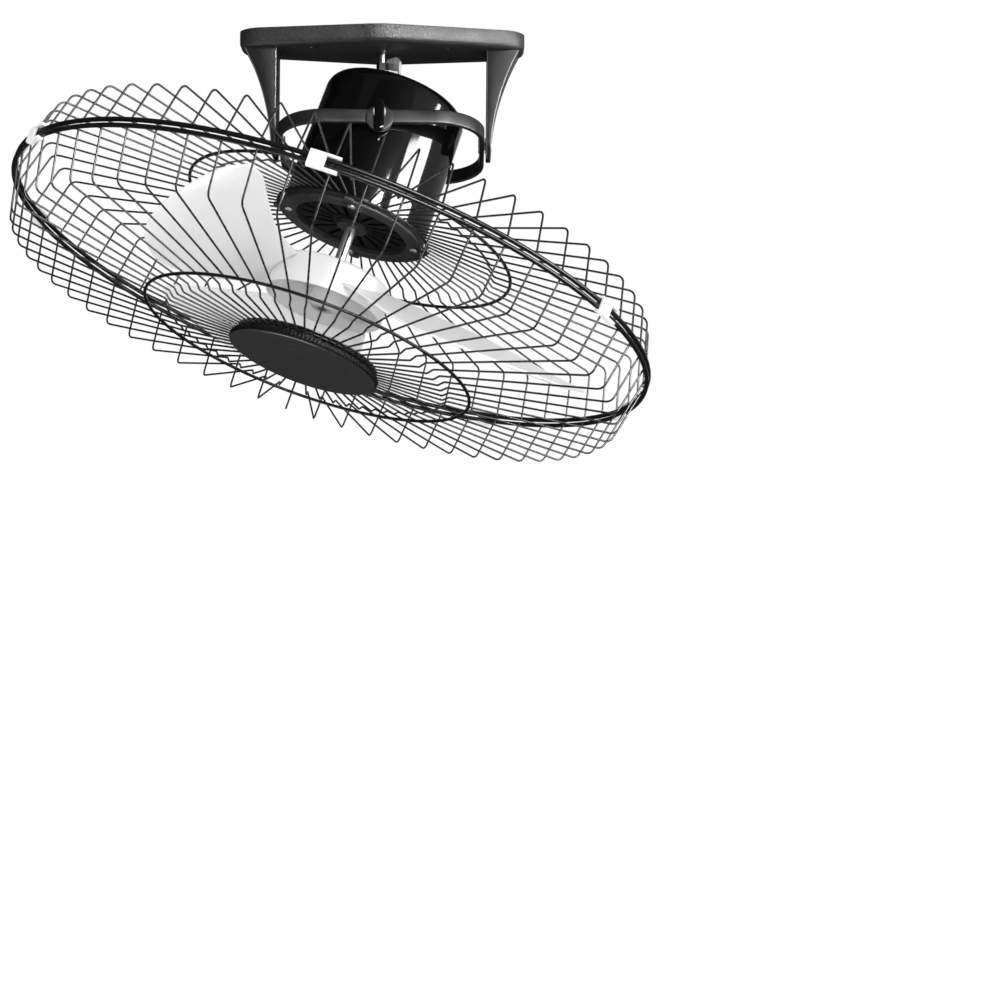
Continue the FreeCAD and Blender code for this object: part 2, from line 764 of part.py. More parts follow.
def motor_housing():
    """The glossy case: a tall cup with a shallow crown, two pivot bosses and four screw posts."""
    body = turned("motor_housing", [[
        (motor_radius - s.case_wall, case_bottom), (motor_radius, case_bottom),
        (s.case_neck_radius, s.case_shoulder_rise), (case_crown_radius, s.case_crown_rise),
        (s.case_mouth_radius, s.case_top_rise), (s.case_mouth_radius, s.case_top_rise - s.case_wall),
        (case_crown_radius, s.case_crown_rise - s.case_wall),
        (s.case_neck_radius - s.case_wall, s.case_shoulder_rise - s.case_wall),
    ]])
    shoulder = s.case_shoulder_rise.value
    wall = s.case_wall.value
    add_fillet(body, s.case_shoulder_round, lambda e: rounds_case(e, s.case_neck_radius.value, shoulder))
    add_fillet(body, s.case_shoulder_round - s.case_wall,
               lambda e: rounds_case(e, s.case_neck_radius.value - wall, shoulder - wall))
    for name, lift, backwards in (("near", pivot_boss_inner, False), ("far", -pivot_boss_inner, True)):
        boss = new_sketch(body, "XZ_Plane", "case_boss_" + name, lift=lift)
        draw_circle(boss, (0, 0), s.pivot_boss_radius)
        add_pad(body, boss, s.case_neck_radius - s.case_wall / 2 - pivot_boss_inner, backwards=backwards)
    posts = new_sketch(body, "XY_Plane", "case_posts", lift=case_bottom)
    for place in screw_circle_places():
        draw_circle(posts, polar(shield_screw_circle, place), s.screw_post_radius)
    add_pad(body, posts, s.screw_post_height)
    holes = new_sketch(body, "XY_Plane", "case_post_holes", lift=case_bottom)
    for place in screw_circle_places():
        draw_circle(holes, polar(shield_screw_circle, place), s.shield_screw_radius + s.screw_clearance)
    add_pocket(body, holes, s.shield_screw_length + s.side_gap, backwards=True)
    bore = new_sketch(body, "XZ_Plane", "case_pivot_bore")
    draw_circle(bore, (0, 0), s.pivot_radius + s.press_clearance)
    add_pocket(body, bore, motor_radius * 4, midplane=True)
    return body


def rounds_case(edge, radius, height):
    """Picks the round edge of that radius at that height."""
    if not isinstance(edge.Curve, Part.Circle):
        return False
    return abs(edge.Curve.Radius - radius) < CLOSE and abs(edge.Curve.Center.z - height) < CLOSE


def polar(circle, place):
    """The plan position of a placement on a circle, as sizes that follow the circle."""
    unit = place.Base / circle.value
    return (circle * unit.x, circle * unit.y)


finish(motor_housing(), "motor_housing", HEAD)


def vent_outline(sketch):
    """One long vent between two radii along X."""
    draw_outline(sketch, [
        (s.vent_inner, -s.vent_half_width), (vent_outer, -s.vent_half_width),
        (vent_outer, s.vent_half_width), (s.vent_inner, s.vent_half_width),
    ])


def repeat_about_axis(body, feature, count):
    """Repeats a feature evenly about the body's Z axis."""
    pattern = body.newObject("PartDesign::PolarPattern", feature.Name + "_around")
    pattern.Originals = [feature]
    for line in body.Origin.OriginFeatures:
        if line.Role == "Z_Axis":
            pattern.Axis = (line, [""])
    pattern.Angle = 360
    pattern.setExpression("Occurrences", count.formula)
    body.Tip = pattern
    doc.recompute()
    return pattern


bearing_seat = s.bearing_radius + s.press_clearance
bearing_top = -s.front_bearing_drop + s.bearing_height
recess_face = shield_bottom + s.shield_recess
lug_top = shield_bottom + s.lug_thickness


def motor_shield():
    """The vented end shield: a flat flange, a sunk middle, a hub round the bearing and guard lugs."""
    shaft_hole = s.shaft_radius + s.side_gap
    body = turned("motor_shield", [[
        (shaft_hole, shield_bottom), (s.shield_hub_radius, shield_bottom),
        (s.shield_hub_radius, recess_face),
        (shield_flange_inner, recess_face), (shield_flange_inner, shield_bottom),
        (motor_radius, shield_bottom), (motor_radius, case_bottom), (s.shield_hub_radius, case_bottom),
        (s.shield_hub_radius, bearing_top), (bearing_seat, bearing_top),
        (bearing_seat, -s.front_bearing_drop),
        (shaft_hole, -s.front_bearing_drop),
    ]])
    vent = new_sketch(body, "XY_Plane", "shield_vent", lift=recess_face)
    vent_outline(vent)
    cut = add_pocket(body, vent, s.shield_height, backwards=True)
    repeat_about_axis(body, cut, s.shield_vents)
    lugs = new_sketch(body, "XY_Plane", "shield_lugs", lift=shield_bottom)
    half = s.lug_half_width
    inside = shield_flange_inner + s.case_wall
    for way in (1, -1):
        near, far = inside * way, lug_reach * way
        draw_outline(lugs, [(near, -half), (far, -half), (far, half), (near, half)])
        draw_outline(lugs, [(-half, near), (half, near), (half, far), (-half, far)])
    add_pad(body, lugs, s.lug_thickness)
    holes = new_sketch(body, "XY_Plane", "shield_screw_holes", lift=shield_bottom)
    for place in screw_circle_places():
        draw_circle(holes, polar(shield_screw_circle, place), s.shield_screw_radius + s.screw_clearance)
    add_pocket(body, holes, s.shield_height, backwards=True)
    return body


finish(motor_shield(), "motor_shield", HEAD)


def shield_screws():
    """Four pan-head screws up through the shield into the case's posts."""
    head = s.shield_screw_head_radius
    low = shield_bottom - s.shield_screw_radius
    tip = case_bottom + s.shield_screw_length
    screw = turned("shield_screw", [[
        (0, low), (s.shield_screw_crown_radius, low), (head, shield_bottom),
        (s.shield_screw_radius, shield_bottom),
        (s.shield_screw_radius, tip), (0, tip),
    ]])
    return copies("shield_screws", screw, screw_circle_places())


finish(shield_screws(), "shield_screws", HEAD)

stator_bottom = -s.stator_bottom_drop
stator_top = -s.stator_top_drop
stator_radius = s.case_neck_radius - s.case_wall + s.side_gap
shaft_top = s.first_layer_rise - s.shaft_end_gap


def head_turning(name, *outlines):
    """A turned piece of the motor, named and placed."""
    return finish(turned(name, outlines), name, HEAD)


head_turning("stator_core", sleeve(stator_bore, stator_radius, stator_bottom, stator_top))
head_turning("stator_windings",
             sleeve(winding_inner, winding_outer, stator_bottom - s.winding_height, stator_bottom),
             sleeve(winding_inner, winding_outer, stator_top, stator_top + s.winding_height))
bearing_bore = s.shaft_radius + s.running_clearance
head_turning("front_bearing", sleeve(bearing_bore, s.bearing_radius, -s.front_bearing_drop, bearing_top))
rear_bearing_top = s.rear_bearing_rise + s.bearing_height
head_turning("rear_bearing", sleeve(bearing_bore, s.bearing_radius, s.rear_bearing_rise, rear_bearing_top))


def motor_bell():
    """The rear bracket: a disc on a skirt that stands on the stator, with the rear bearing's seat."""
    hub = s.shield_hub_radius
    floor = s.rear_bearing_rise - s.bush_wall
    body = turned("motor_bell", [[
        (s.shaft_radius + s.side_gap, floor), (hub, floor), (hub, s.bell_floor_rise),
        (bell_skirt_inner, s.bell_floor_rise), (bell_skirt_inner, stator_top),
        (bell_skirt_outer, stator_top),
        (bell_skirt_outer, s.bell_floor_rise + s.pivot_boss_radius / 2),
        (bell_radius, s.bell_floor_rise + s.pivot_boss_radius / 2), (bell_radius, bell_rim_top),
        (bell_skirt_inner, bell_rim_top), (bell_skirt_inner, s.bell_top_rise),
        (bearing_seat, s.bell_top_rise),
        (bearing_seat, s.rear_bearing_rise), (s.shaft_radius + s.side_gap, s.rear_bearing_rise),
    ]])
    holes = new_sketch(body, "XY_Plane", "bell_pin_holes", lift=s.bell_floor_rise)
    for place in gear_pin_places:
        draw_circle(holes, polar(gear_distance, place), s.gear_pin_radius + s.press_clearance)
    add_pocket(body, holes, s.bell_top_rise, backwards=True)
    return body


gear_distance = gear_module * (s.pinion_teeth + s.wheel_teeth) / 2
gear_pin_places = []
for pin_angle in (0.0, s.gear_pin_spread.value):
    spin = FreeCAD.Placement(V(), FreeCAD.Rotation(Z_AXIS, pin_angle))
    outwards = FreeCAD.Placement(V(gear_distance.value, 0, 0), FreeCAD.Rotation())
    gear_pin_places.append(spin.multiply(outwards))
bell_rim_top = s.bell_floor_rise + s.pivot_boss_radius
finish(motor_bell(), "motor_bell", HEAD)

# Rotor: shaft, rotor core, drive pinion, fan and its nut.
hub_nut_bottom = -s.hub_nut_drop
head_turning("motor_shaft", [
    (0, hub_nut_bottom), (s.shaft_radius, hub_nut_bottom), (s.shaft_radius, shaft_top),
    (s.shaft_spigot_radius, shaft_top), (s.shaft_spigot_radius, s.first_layer_rise + s.gear_width),
    (0, s.first_layer_rise + s.gear_width),
])
head_turning("rotor_core", sleeve(s.shaft_radius + s.press_clearance, stator_bore - s.air_gap,
                                  stator_bottom, stator_top))

# Gear teeth are involutes between the base and tip circles, each flank one arc through three points.

def involute_angle(radius, base_radius):
    """The angle that an involute has turned when it reaches a radius."""
    if radius <= base_radius:
        return 0.0
    slope = math.sqrt((radius / base_radius) ** 2 - 1)
    return slope - math.atan(slope)


def gear_face(teeth, turn, bore):
    """A toothed disc's outline as a face: one tooth lies at the turn angle, with a bore through it."""
    pitch = gear_module.value * teeth / 2
    base = pitch * math.cos(math.radians(s.gear_pressure_angle.value))
    tip = pitch + gear_module.value * s.gear_addendum.value
    root = pitch - gear_module.value * s.gear_dedendum.value
    half_tooth = math.pi / (2 * teeth) - s.gear_backlash.value / (2 * pitch)
    foot = max(base, root)

    def flank(radius):
        return half_tooth + involute_angle(pitch, base) - involute_angle(radius, base)

    def point(radius, angle):
        return V(radius * math.cos(angle), radius * math.sin(angle), 0)

    edges = []
    for i in range(teeth):
        middle = math.radians(turn) + 2 * math.pi * i / teeth
        following = middle + 2 * math.pi / teeth
        half_way = (foot + tip) / 2
        low = point(root, middle - flank(foot))
        if foot > root:
            edges.append(Part.makeLine(low, point(foot, middle - flank(foot))))
        edges.append(Part.Arc(point(foot, middle - flank(foot)), point(half_way, middle - flank(half_way)),
                              point(tip, middle - flank(tip))).toShape())
        crest = Part.Arc(point(tip, middle - flank(tip)), point(tip, middle),
                         point(tip, middle + flank(tip)))
        edges.append(crest.toShape())
        edges.append(Part.Arc(point(tip, middle + flank(tip)), point(half_way, middle + flank(half_way)),
                              point(foot, middle + flank(foot))).toShape())
        if foot > root:
            foot_angle = middle + flank(foot)
            edges.append(Part.makeLine(point(foot, foot_angle), point(root, foot_angle)))
        edges.append(Part.Arc(point(root, middle + flank(foot)), point(root, (middle + following) / 2),
                              point(root, following - flank(foot))).toShape())
    outline = Part.Wire(edges)
    hole = Part.Wire([Part.makeCircle(bore)])
    return Part.makeFace([outline, hole], "Part::FaceMakerBullseye")


def gear(teeth, turn, bore, low):
    """A toothed disc of the gears' width that starts at a height."""
    solid = gear_face(int(teeth.value), turn, bore.value).extrude(V(0, 0, s.gear_width.value))
    solid.translate(V(0, 0, low.value))
    return solid


# Tooth turns: where two gears meet, one has a tooth and the other a gap.
def facing_turn(teeth, direction, is_gap):
    """The turn that puts a tooth, or a gap, in a direction in degrees."""
    if is_gap:
        return direction + HALF_TURN / teeth.value
    return direction


layers = [s.first_layer_rise + s.gear_layer * i for i in range(3)]
gearbox_inside = s.gearbox_top_rise - s.gearbox_wall
pin_bore = s.gear_pin_radius + s.running_clearance


def collar(low, high):
    """A plain spacer tube on a gear pin."""
    tube = Part.makeCylinder(s.gear_collar_radius.value, high.value - low.value, V(0, 0, low.value))
    return tube.cut(Part.makeCylinder(pin_bore.value, high.value - low.value, V(0, 0, low.value)))


def idler(name, place, wheel_layer, wheel_turn, pinion_turn):
    """A wheel and pinion in one moulding, with collars down to the bell and up to the gearbox cover."""
    wheel_low, pinion_low = layers[wheel_layer], layers[wheel_layer + 1]
    wheel = gear(s.wheel_teeth, wheel_turn, pin_bore, wheel_low)
    pinion = gear(s.pinion_teeth, pinion_turn, pin_bore, pinion_low)
    shape = wheel.multiFuse([
        pinion, collar(s.bell_top_rise + s.side_gap, wheel_low),
        collar(wheel_low + s.gear_width, pinion_low),
        collar(pinion_low + s.gear_width, gearbox_inside - s.side_gap),
    ])
    piece = made(name, shape.removeSplitter())
    piece.Placement = FreeCAD.Placement(place.Base, FreeCAD.Rotation())
    return finish(piece, name, HEAD)


# Directions of the gear pins from the motor's axis, and from the first pin to the second.
first_way = 0.0
second_way = s.gear_pin_spread.value
between = math.degrees(math.atan2(gear_pin_places[1].Base.y - gear_pin_places[0].Base.y,
                                  gear_pin_places[1].Base.x - gear_pin_places[0].Base.x))
spigot_bore = s.shaft_spigot_radius + s.press_clearance
drive_turn = facing_turn(s.pinion_teeth, first_way, False)
drive_pinion = made("drive_pinion_gear", gear(s.pinion_teeth, drive_turn, spigot_bore, layers[0]))
finish(drive_pinion, "drive_pinion", HEAD)
idler("first_idler_gear", gear_pin_places[0], 0, facing_turn(s.wheel_teeth, first_way + HALF_TURN, True),
      facing_turn(s.pinion_teeth, between, False))
idler("second_idler_gear", gear_pin_places[1], 1, facing_turn(s.wheel_teeth, between + HALF_TURN, True),
      facing_turn(s.pinion_teeth, second_way + HALF_TURN, False))
output_bore = s.output_radius + s.press_clearance
output_turn = facing_turn(s.wheel_teeth, second_way, True)
output_gear = made("output_wheel", gear(s.wheel_teeth, output_turn, output_bore, layers[2]))
finish(output_gear, "output_gear", HEAD)


def gear_pins():
    """The two fixed pins that the idler gears turn on."""
    pin = turned("gear_pin", [sleeve(as_size(0), s.gear_pin_radius, s.bell_floor_rise, gearbox_inside)])
    places = [FreeCAD.Placement(place.Base, FreeCAD.Rotation()) for place in gear_pin_places]
    return copies("gear_pins", pin, places)


finish(gear_pins(), "gear_pins", HEAD)
bush_outer = s.output_radius + s.output_bush_wall
head_turning("gearbox_cover", [
    (gearbox_radius - s.gearbox_wall, s.bell_top_rise), (gearbox_radius, s.bell_top_rise),
    (gearbox_radius, s.gearbox_top_rise), (bush_outer + s.press_clearance, s.gearbox_top_rise),
    (bush_outer + s.press_clearance, gearbox_inside), (gearbox_radius - s.gearbox_wall, gearbox_inside),
])
bush_bottom = layers[2] + s.gear_width + s.side_gap
head_turning("output_bush", sleeve(s.output_radius + s.running_clearance, bush_outer, bush_bottom,
                                   s.gearbox_top_rise + s.gearbox_wall))


# One blade, as arcs across it: share of the tip radius, headings of its leading and trailing edges
# from the blade's heading, and how deep the two edges hang as shares of the blade's depth.
BLADE_PLAN = [
    (0.2125, -20.6, -86.8, 0.05, 0.36),
    (0.300, -16.0, -76.0, 0.06, 0.54),
    (0.437, -10.5, -65.0, 0.08, 0.83),
    (0.595, -5.0, -56.0, 0.07, 1.00),
    (0.754, -1.0, -37.5, 0.08, 0.96),
    (0.893, 1.3, -18.5, 0.10, 0.66),
    (0.968, 1.0, -8.0, 0.14, 0.38),
    (1.000, 0.0, -3.0, 0.18, 0.25),
]


BLADE_STEPS = 4


def blade_row(off, share, lead, trail, lead_depth, trail_depth):
    """Points across the blade at one radius, from its trailing to its leading edge."""
    radius = s.blade_tip_radius.value * share
    sag = s.blade_camber.value * radius * math.radians(lead - trail)
    row = []
    for step in range(BLADE_STEPS + 1):
        along = step / BLADE_STEPS
        angle = math.radians(trail + (lead - trail) * along)
        depth = s.blade_depth.value * (trail_depth + (lead_depth - trail_depth) * along)
        depth += 4 * sag * along * (1 - along)
        height = off - s.blade_high_drop.value - depth
        row.append(V(radius * math.cos(angle), radius * math.sin(angle), height))
    return row


def blade_face(off):
    """One face of the blade, smooth through all its rows."""
    surface = Part.BSplineSurface()
    surface.interpolate([blade_row(off, *row) for row in BLADE_PLAN])
    return surface.toShape()


def blade():
    """One moulded blade: its leading edge sweeps forward to the tip, its trailing edge is round."""
    half = s.blade_thickness.value / 2
    upper, lower = blade_face(half), blade_face(-half)
    edges = [Part.makeRuledSurface(a, b) for a, b in zip(upper.Edges, lower.Edges)]
    shell = Part.makeShell([upper, lower] + edges)
    shell.sewShape()
    solid = Part.makeSolid(shell)
    if solid.Volume < 0:
        solid.reverse()
    return solid


def fan_blades():
    """Hub and blades in one moulding."""
    top, bottom = -s.hub_top_drop, -s.hub_bottom_drop
    bore = s.shaft_radius + s.press_clearance
    hub = turned("fan_hub", [[
        (bore, -s.hub_boss_drop), (s.hub_boss_radius, -s.hub_boss_drop),
        (s.hub_boss_radius, top - s.hub_wall),
        (s.hub_radius - s.hub_wall, top - s.hub_wall), (s.hub_radius - s.hub_wall, bottom),
        (s.hub_radius, bottom), (s.hub_radius, top), (bore, top),
    ]])
    shape = hub.Shape
    for place in around(s.blade_count.value, s.blade_heading.value):
        one = blade()
        one.Placement = place.multiply(one.Placement)
        shape = shape.fuse(one)
    return made("fan_blades_moulding", shape)


finish(fan_blades(), "fan_blades", HEAD)
head_turning("hub_nut", [
    (s.shaft_radius + s.press_clearance, -s.hub_boss_drop - s.press_clearance),
    (s.shaft_radius + s.press_clearance, hub_nut_bottom), (s.hub_nut_tip_radius, hub_nut_bottom),
    (s.hub_nut_radius, hub_nut_bottom + s.hub_wall),
    (s.hub_nut_radius, -s.hub_boss_drop - s.press_clearance),
])


# Orbit crank: output shaft, bent sheet arm, upright pin and its nut.
def output_shaft():
    return turned("output_shaft", [sleeve(as_size(0), s.output_radius, layers[2], s.output_top_rise)])


finish(output_shaft(), "output_shaft", HEAD)


def crank_arm():
    """One bent strap: a foot on the output shaft, a riser, an ear on the pin and a wing beside the pin."""
    sheet_thick = s.crank_sheet.value
    foot_low = s.crank_foot_rise.value
    ear_low = s.crank_ear_rise.value
    half = s.crank_strap_half.value
    riser_x = s.crank_riser_reach.value
    up = V(math.sin(tilt), 0, math.cos(tilt))
    foot = Part.makeCylinder(s.crank_foot_radius.value, sheet_thick, V(0, 0, foot_low))
    foot_strip = Part.makeBox(riser_x + sheet_thick, half * 2, sheet_thick, V(0, -half, foot_low))
    ear = Part.makeCylinder(s.crank_ear_radius.value, sheet_thick, up * ear_low, up)
    ear_reach = ear_low * math.tan(tilt) - riser_x / math.cos(tilt)
    ear_strip = Part.makeBox(ear_reach, half * 2, sheet_thick, V(-ear_reach, -half, 0))
    ear_place = FreeCAD.Placement(up * ear_low, FreeCAD.Rotation(Y_AXIS, math.degrees(tilt)))
    ear_strip.Placement = ear_place.multiply(ear_strip.Placement)
    riser_top = ear_low / math.cos(tilt) - riser_x * math.tan(tilt)
    riser = Part.makeBox(sheet_thick, half * 2, riser_top - foot_low, V(riser_x, -half, foot_low))
    wing_half = s.crank_wing_half.value
    wing_top = s.crank_wing_top.value - ear_low
    wing_cut = s.crank_wing_cut.value
    wing_corners = [
        V(-ear_reach, -wing_half, 0), V(-ear_reach, wing_half, 0), V(-ear_reach, wing_half, wing_top - wing_cut),
        V(-ear_reach, wing_half - wing_cut, wing_top), V(-ear_reach, wing_cut - wing_half, wing_top),
        V(-ear_reach, -wing_half, wing_top - wing_cut),
    ]
    wing_face = Part.Face(Part.makePolygon(wing_corners + wing_corners[:1]))
    wing = wing_face.extrude(V(sheet_thick, 0, 0))
    wing.Placement = ear_place
    shape = foot.multiFuse([foot_strip, ear, ear_strip, riser, wing])
    through = sheet_thick * 3
    foot_bore = s.output_radius.value + s.press_clearance.value
    ear_bore = s.crank_pin_radius.value + s.press_clearance.value
    shape = shape.cut(Part.makeCylinder(foot_bore, through, V(0, 0, foot_low - sheet_thick)))
    shape = shape.cut(Part.makeCylinder(ear_bore, through, up * (ear_low - sheet_thick), up))
    return made("crank_sheet_arm", shape.removeSplitter())


finish(crank_arm(), "crank_arm", CRANK)
pin_top = s.gimbal_drop - s.plate_height - s.crank_open_gap


def crank_pin():
    return turned("crank_pin", [sleeve(as_size(0), s.crank_pin_radius, s.crank_pin_foot, pin_top)])


finish(crank_pin(), "crank_pin", PIN)


def crank_nut():
    """A hexagon nut on the crank's ear."""
    low = s.crank_ear_rise.value + s.crank_sheet.value + s.press_clearance.value
    high = s.crank_nut_height.value
    radius = s.crank_nut_radius.value
    corners = []
    for i in range(NUT_SIDES):
        angle = 2 * math.pi * i / NUT_SIDES
        corners.append(V(radius * math.cos(angle), radius * math.sin(angle), low))
    nut = Part.Face(Part.makePolygon(corners + corners[:1])).extrude(V(0, 0, high))
    bore = Part.makeCylinder(s.crank_pin_radius.value + s.press_clearance.value, high, V(0, 0, low))
    return made("crank_nut_hexagon", nut.cut(bore))


finish(crank_nut(), "crank_nut", PIN)


def motor_pivot_pins():
    """Two pins, pressed into the case's bosses, that turn in the ring's bushes."""
    outlines = []
    for side in (1, -1):
        outlines.append(lying(pivot_boss_inner * side, boss_face * side, as_size(0), s.pivot_radius))
    return turned("motor_pivot_pins", outlines, "Y")


finish(motor_pivot_pins(), "motor_pivot_pins", HEAD)

# Wire guard. A half is a set of bent radial wires with a rim, a middle ring and a hub ring.

def bent_wire(points, bends):
    """A round wire along straight runs joined by tangent arcs, in the XZ plane."""
    edges = []
    here = points[0]
    for i in range(1, len(points) - 1):
        corner, radius = points[i], bends[i - 1]
        to_last = (points[i - 1] - corner).normalize()
        to_next = (points[i + 1] - corner).normalize()
        half_angle = to_last.getAngle(to_next) / 2
        reach = radius / math.tan(half_angle)
        start, stop = corner + to_last * reach, corner + to_next * reach
        inward = (to_last + to_next).normalize()
        middle = corner + inward * (radius / math.sin(half_angle) - radius)
        edges.append(Part.LineSegment(here, start).toShape())
        edges.append(Part.Arc(start, middle, stop).toShape())
        here = stop
    edges.append(Part.LineSegment(here, points[-1]).toShape())
    path = Part.Wire(edges)
    direction = (points[1] - points[0]).normalize()
    section = Part.Wire([Part.makeCircle(s.wire_radius.value, points[0], direction)])
    return path.makePipeShell([section], True, False)


rim_plane = -s.rim_drop
rim_wire_seat = s.guard_radius - s.rim_wire_radius - s.weld_gap - s.wire_radius
ring_stack = s.wire_radius + s.weld_gap + s.ring_wire_radius


def guard_half(name, side, shoulder, mid, kink, hub_height, wire_end, hub_ring, hub_side):
    """One half of the guard: side is 1 towards the motor and -1 towards the front."""

    def at(radius, height):
        return V(radius.value, 0, rim_plane.value + side * height.value)

    mid_edge = s.mid_ring_radius - s.ring_wire_radius * 2
    points = [
        at(rim_wire_seat, s.rim_half_gap - s.rim_wire_radius / 2), at(s.shoulder_radius, shoulder),
        at(mid_edge, mid), at(mid_edge - s.kink_run, mid + kink), at(wire_end, hub_height),
    ]
    wire = bent_wire(points, [s.shoulder_bend.value, s.kink_bend.value, s.kink_bend.value])
    wires = []
    for place in around(s.wire_count.value, s.wire_start_angle.value):
        one = wire.copy()
        one.Placement = place.multiply(one.Placement)
        wires.append(one)
    finish(made(name + "_wire_set", Part.makeCompound(wires)), name + "_wires", HEAD)
    for part, major, minor, height in (
        ("rim", s.guard_radius, s.rim_wire_radius, s.rim_half_gap),
        ("mid_ring", s.mid_ring_radius, s.ring_wire_radius, mid + ring_stack),
        ("hub_ring", hub_ring, s.ring_wire_radius, hub_height + ring_stack * hub_side),
    ):
        label = name + "_" + part
        finish(wire_ring(label, major, minor, rim_plane + height * side), label, HEAD)


rear_hub_height = lug_top + s.weld_gap + s.ring_wire_radius + ring_stack - rim_plane
guard_half("rear_guard", 1, s.rear_shoulder_rise, s.rear_mid_rise, s.rear_kink_step, rear_hub_height,
           rear_wire_end, rear_hub_ring_radius, -1)
guard_half("front_guard", -1, s.front_shoulder_drop, s.front_mid_drop, s.front_kink_step, s.front_hub_drop,
           s.front_wire_end, s.front_hub_ring_radius, -1)


def guard_clips():
    """C-shaped clips that hold the two rims together, open towards the fan."""
    inner_r = s.guard_radius.value + s.rim_wire_radius.value + s.clip_play.value
    inner_z = s.rim_half_gap.value + s.rim_wire_radius.value + s.clip_play.value
    wall = s.clip_wall.value
    lip_r = s.guard_radius.value - s.clip_lip.value
    outer_r, outer_z = inner_r + wall, inner_z + wall
    corners = [
        V(lip_r, 0, -outer_z), V(outer_r, 0, -outer_z), V(outer_r, 0, outer_z), V(lip_r, 0, outer_z),
        V(lip_r, 0, inner_z), V(inner_r, 0, inner_z), V(inner_r, 0, -inner_z), V(lip_r, 0, -inner_z),
    ]
    section = Part.Face(Part.makePolygon(corners + corners[:1]))
    span = math.degrees(s.clip_length.value / s.guard_radius.value)
    clip = section.revolve(V(), Z_AXIS, span)
    clip.rotate(V(), Z_AXIS, -span / 2)
    clip.translate(V(0, 0, rim_plane.value))
    clips = []
    for angle in (s.lower_right_clip_angle, s.lower_clip_angle, s.lower_left_clip_angle,
                  s.left_clip_angle, s.top_clip_angle, s.right_clip_angle):
        one = clip.copy()
        one.rotate(V(), Z_AXIS, angle.value)
        clips.append(one)
    return made("guard_clip_set", Part.makeCompound(clips))


finish(guard_clips(), "guard_clips", HEAD)
cap_face = rim_plane - s.cap_face_drop
cap_rim_top = rim_plane - s.front_hub_drop - s.wire_radius - s.weld_gap
head_turning("front_cap", [
    (0, cap_face), (s.cap_radius - s.cap_wall, cap_face), (s.cap_radius, cap_face + s.cap_wall),
    (s.cap_radius, cap_rim_top), (s.cap_radius - s.cap_wall, cap_rim_top),
    (s.cap_radius - s.cap_wall, cap_face + s.cap_wall), (0, cap_face + s.cap_wall),
])

# Every object must have been made soundly before anything is written.
doc.recompute()
for thing in doc.Objects:
    if "Invalid" in thing.State or "Error" in thing.State:
        raise RuntimeError(f"{thing.Name} failed")
for piece in sub_parts:
    if piece.Shape.isNull() or not piece.Shape.isValid():
        raise RuntimeError(f"{piece.Label} has no sound shape")
os.makedirs("parts", exist_ok=True)
for piece in sub_parts:
    piece.Shape.exportStep(f"parts/{piece.Label}.step")
    print(piece.Label, len(piece.Shape.Solids), round(piece.Shape.Volume))
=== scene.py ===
# %% [markdown]
# # Dressing an orbiting ceiling fan
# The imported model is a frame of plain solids, already in its real size and place. This lesson keeps the
# solids whose shape is right, and lays finer pieces over the ones that the eye rests on: round wire, a
# polished motor, thin moulded blades. Every new piece rides on the body that carries it, so it moves as
# the real one does.

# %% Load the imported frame
import bmesh
import bpy
import json
import math
from mathutils import Matrix, Vector


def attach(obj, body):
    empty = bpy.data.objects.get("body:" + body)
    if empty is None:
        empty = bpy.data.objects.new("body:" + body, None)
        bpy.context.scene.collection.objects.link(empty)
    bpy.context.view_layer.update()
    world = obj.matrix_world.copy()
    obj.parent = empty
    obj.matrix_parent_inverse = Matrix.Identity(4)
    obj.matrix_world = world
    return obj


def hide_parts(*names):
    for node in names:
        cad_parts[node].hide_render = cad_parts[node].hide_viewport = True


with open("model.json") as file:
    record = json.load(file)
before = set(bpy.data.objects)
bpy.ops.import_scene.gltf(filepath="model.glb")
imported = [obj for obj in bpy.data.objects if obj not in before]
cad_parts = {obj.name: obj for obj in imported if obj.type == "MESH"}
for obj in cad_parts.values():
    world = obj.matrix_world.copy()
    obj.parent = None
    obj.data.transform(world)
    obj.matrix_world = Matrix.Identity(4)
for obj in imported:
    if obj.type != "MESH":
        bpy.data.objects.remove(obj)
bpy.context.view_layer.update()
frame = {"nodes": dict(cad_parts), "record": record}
nodes = frame["nodes"]
print("nodes in the frame:", len(nodes))

# %% [markdown]
# The motor leans, so most of the fan is easiest to draw in the motor's own frame and to place with one
# matrix. The ring first tilts about X, and the motor then tilts about the ring's Y. Both tilts follow from
# one lean and its heading. Lengths are written in millimetres and turned into metres when a mesh is made.

# %% Frames of the plate, the ring and the leaning head
MM = 0.001
GIMBAL_DROP = 100.0
HEAD_LEAN = math.radians(22.25)
LEAN_HEADING = math.radians(35.9)
motor_lean = math.asin(math.sin(HEAD_LEAN) * math.cos(LEAN_HEADING))
ring_lean = -math.atan2(math.sin(HEAD_LEAN) * math.sin(LEAN_HEADING), math.cos(HEAD_LEAN))
PLATE = Matrix.Identity(4)
RING = Matrix.Translation((0, 0, -GIMBAL_DROP * MM)) @ Matrix.Rotation(ring_lean, 4, "X")
HEAD = RING @ Matrix.Rotation(motor_lean, 4, "Y")
print("ring leans", round(math.degrees(ring_lean), 2), "motor leans", round(math.degrees(motor_lean), 2))

# %% [markdown]
# A camera can be matched to a photograph by fitting its place, turn and focal length to points whose
# real positions are known. Here the plate's corners, the gimbal and the two guard rims gave a long lens
# a little below the fan, looking slightly up.

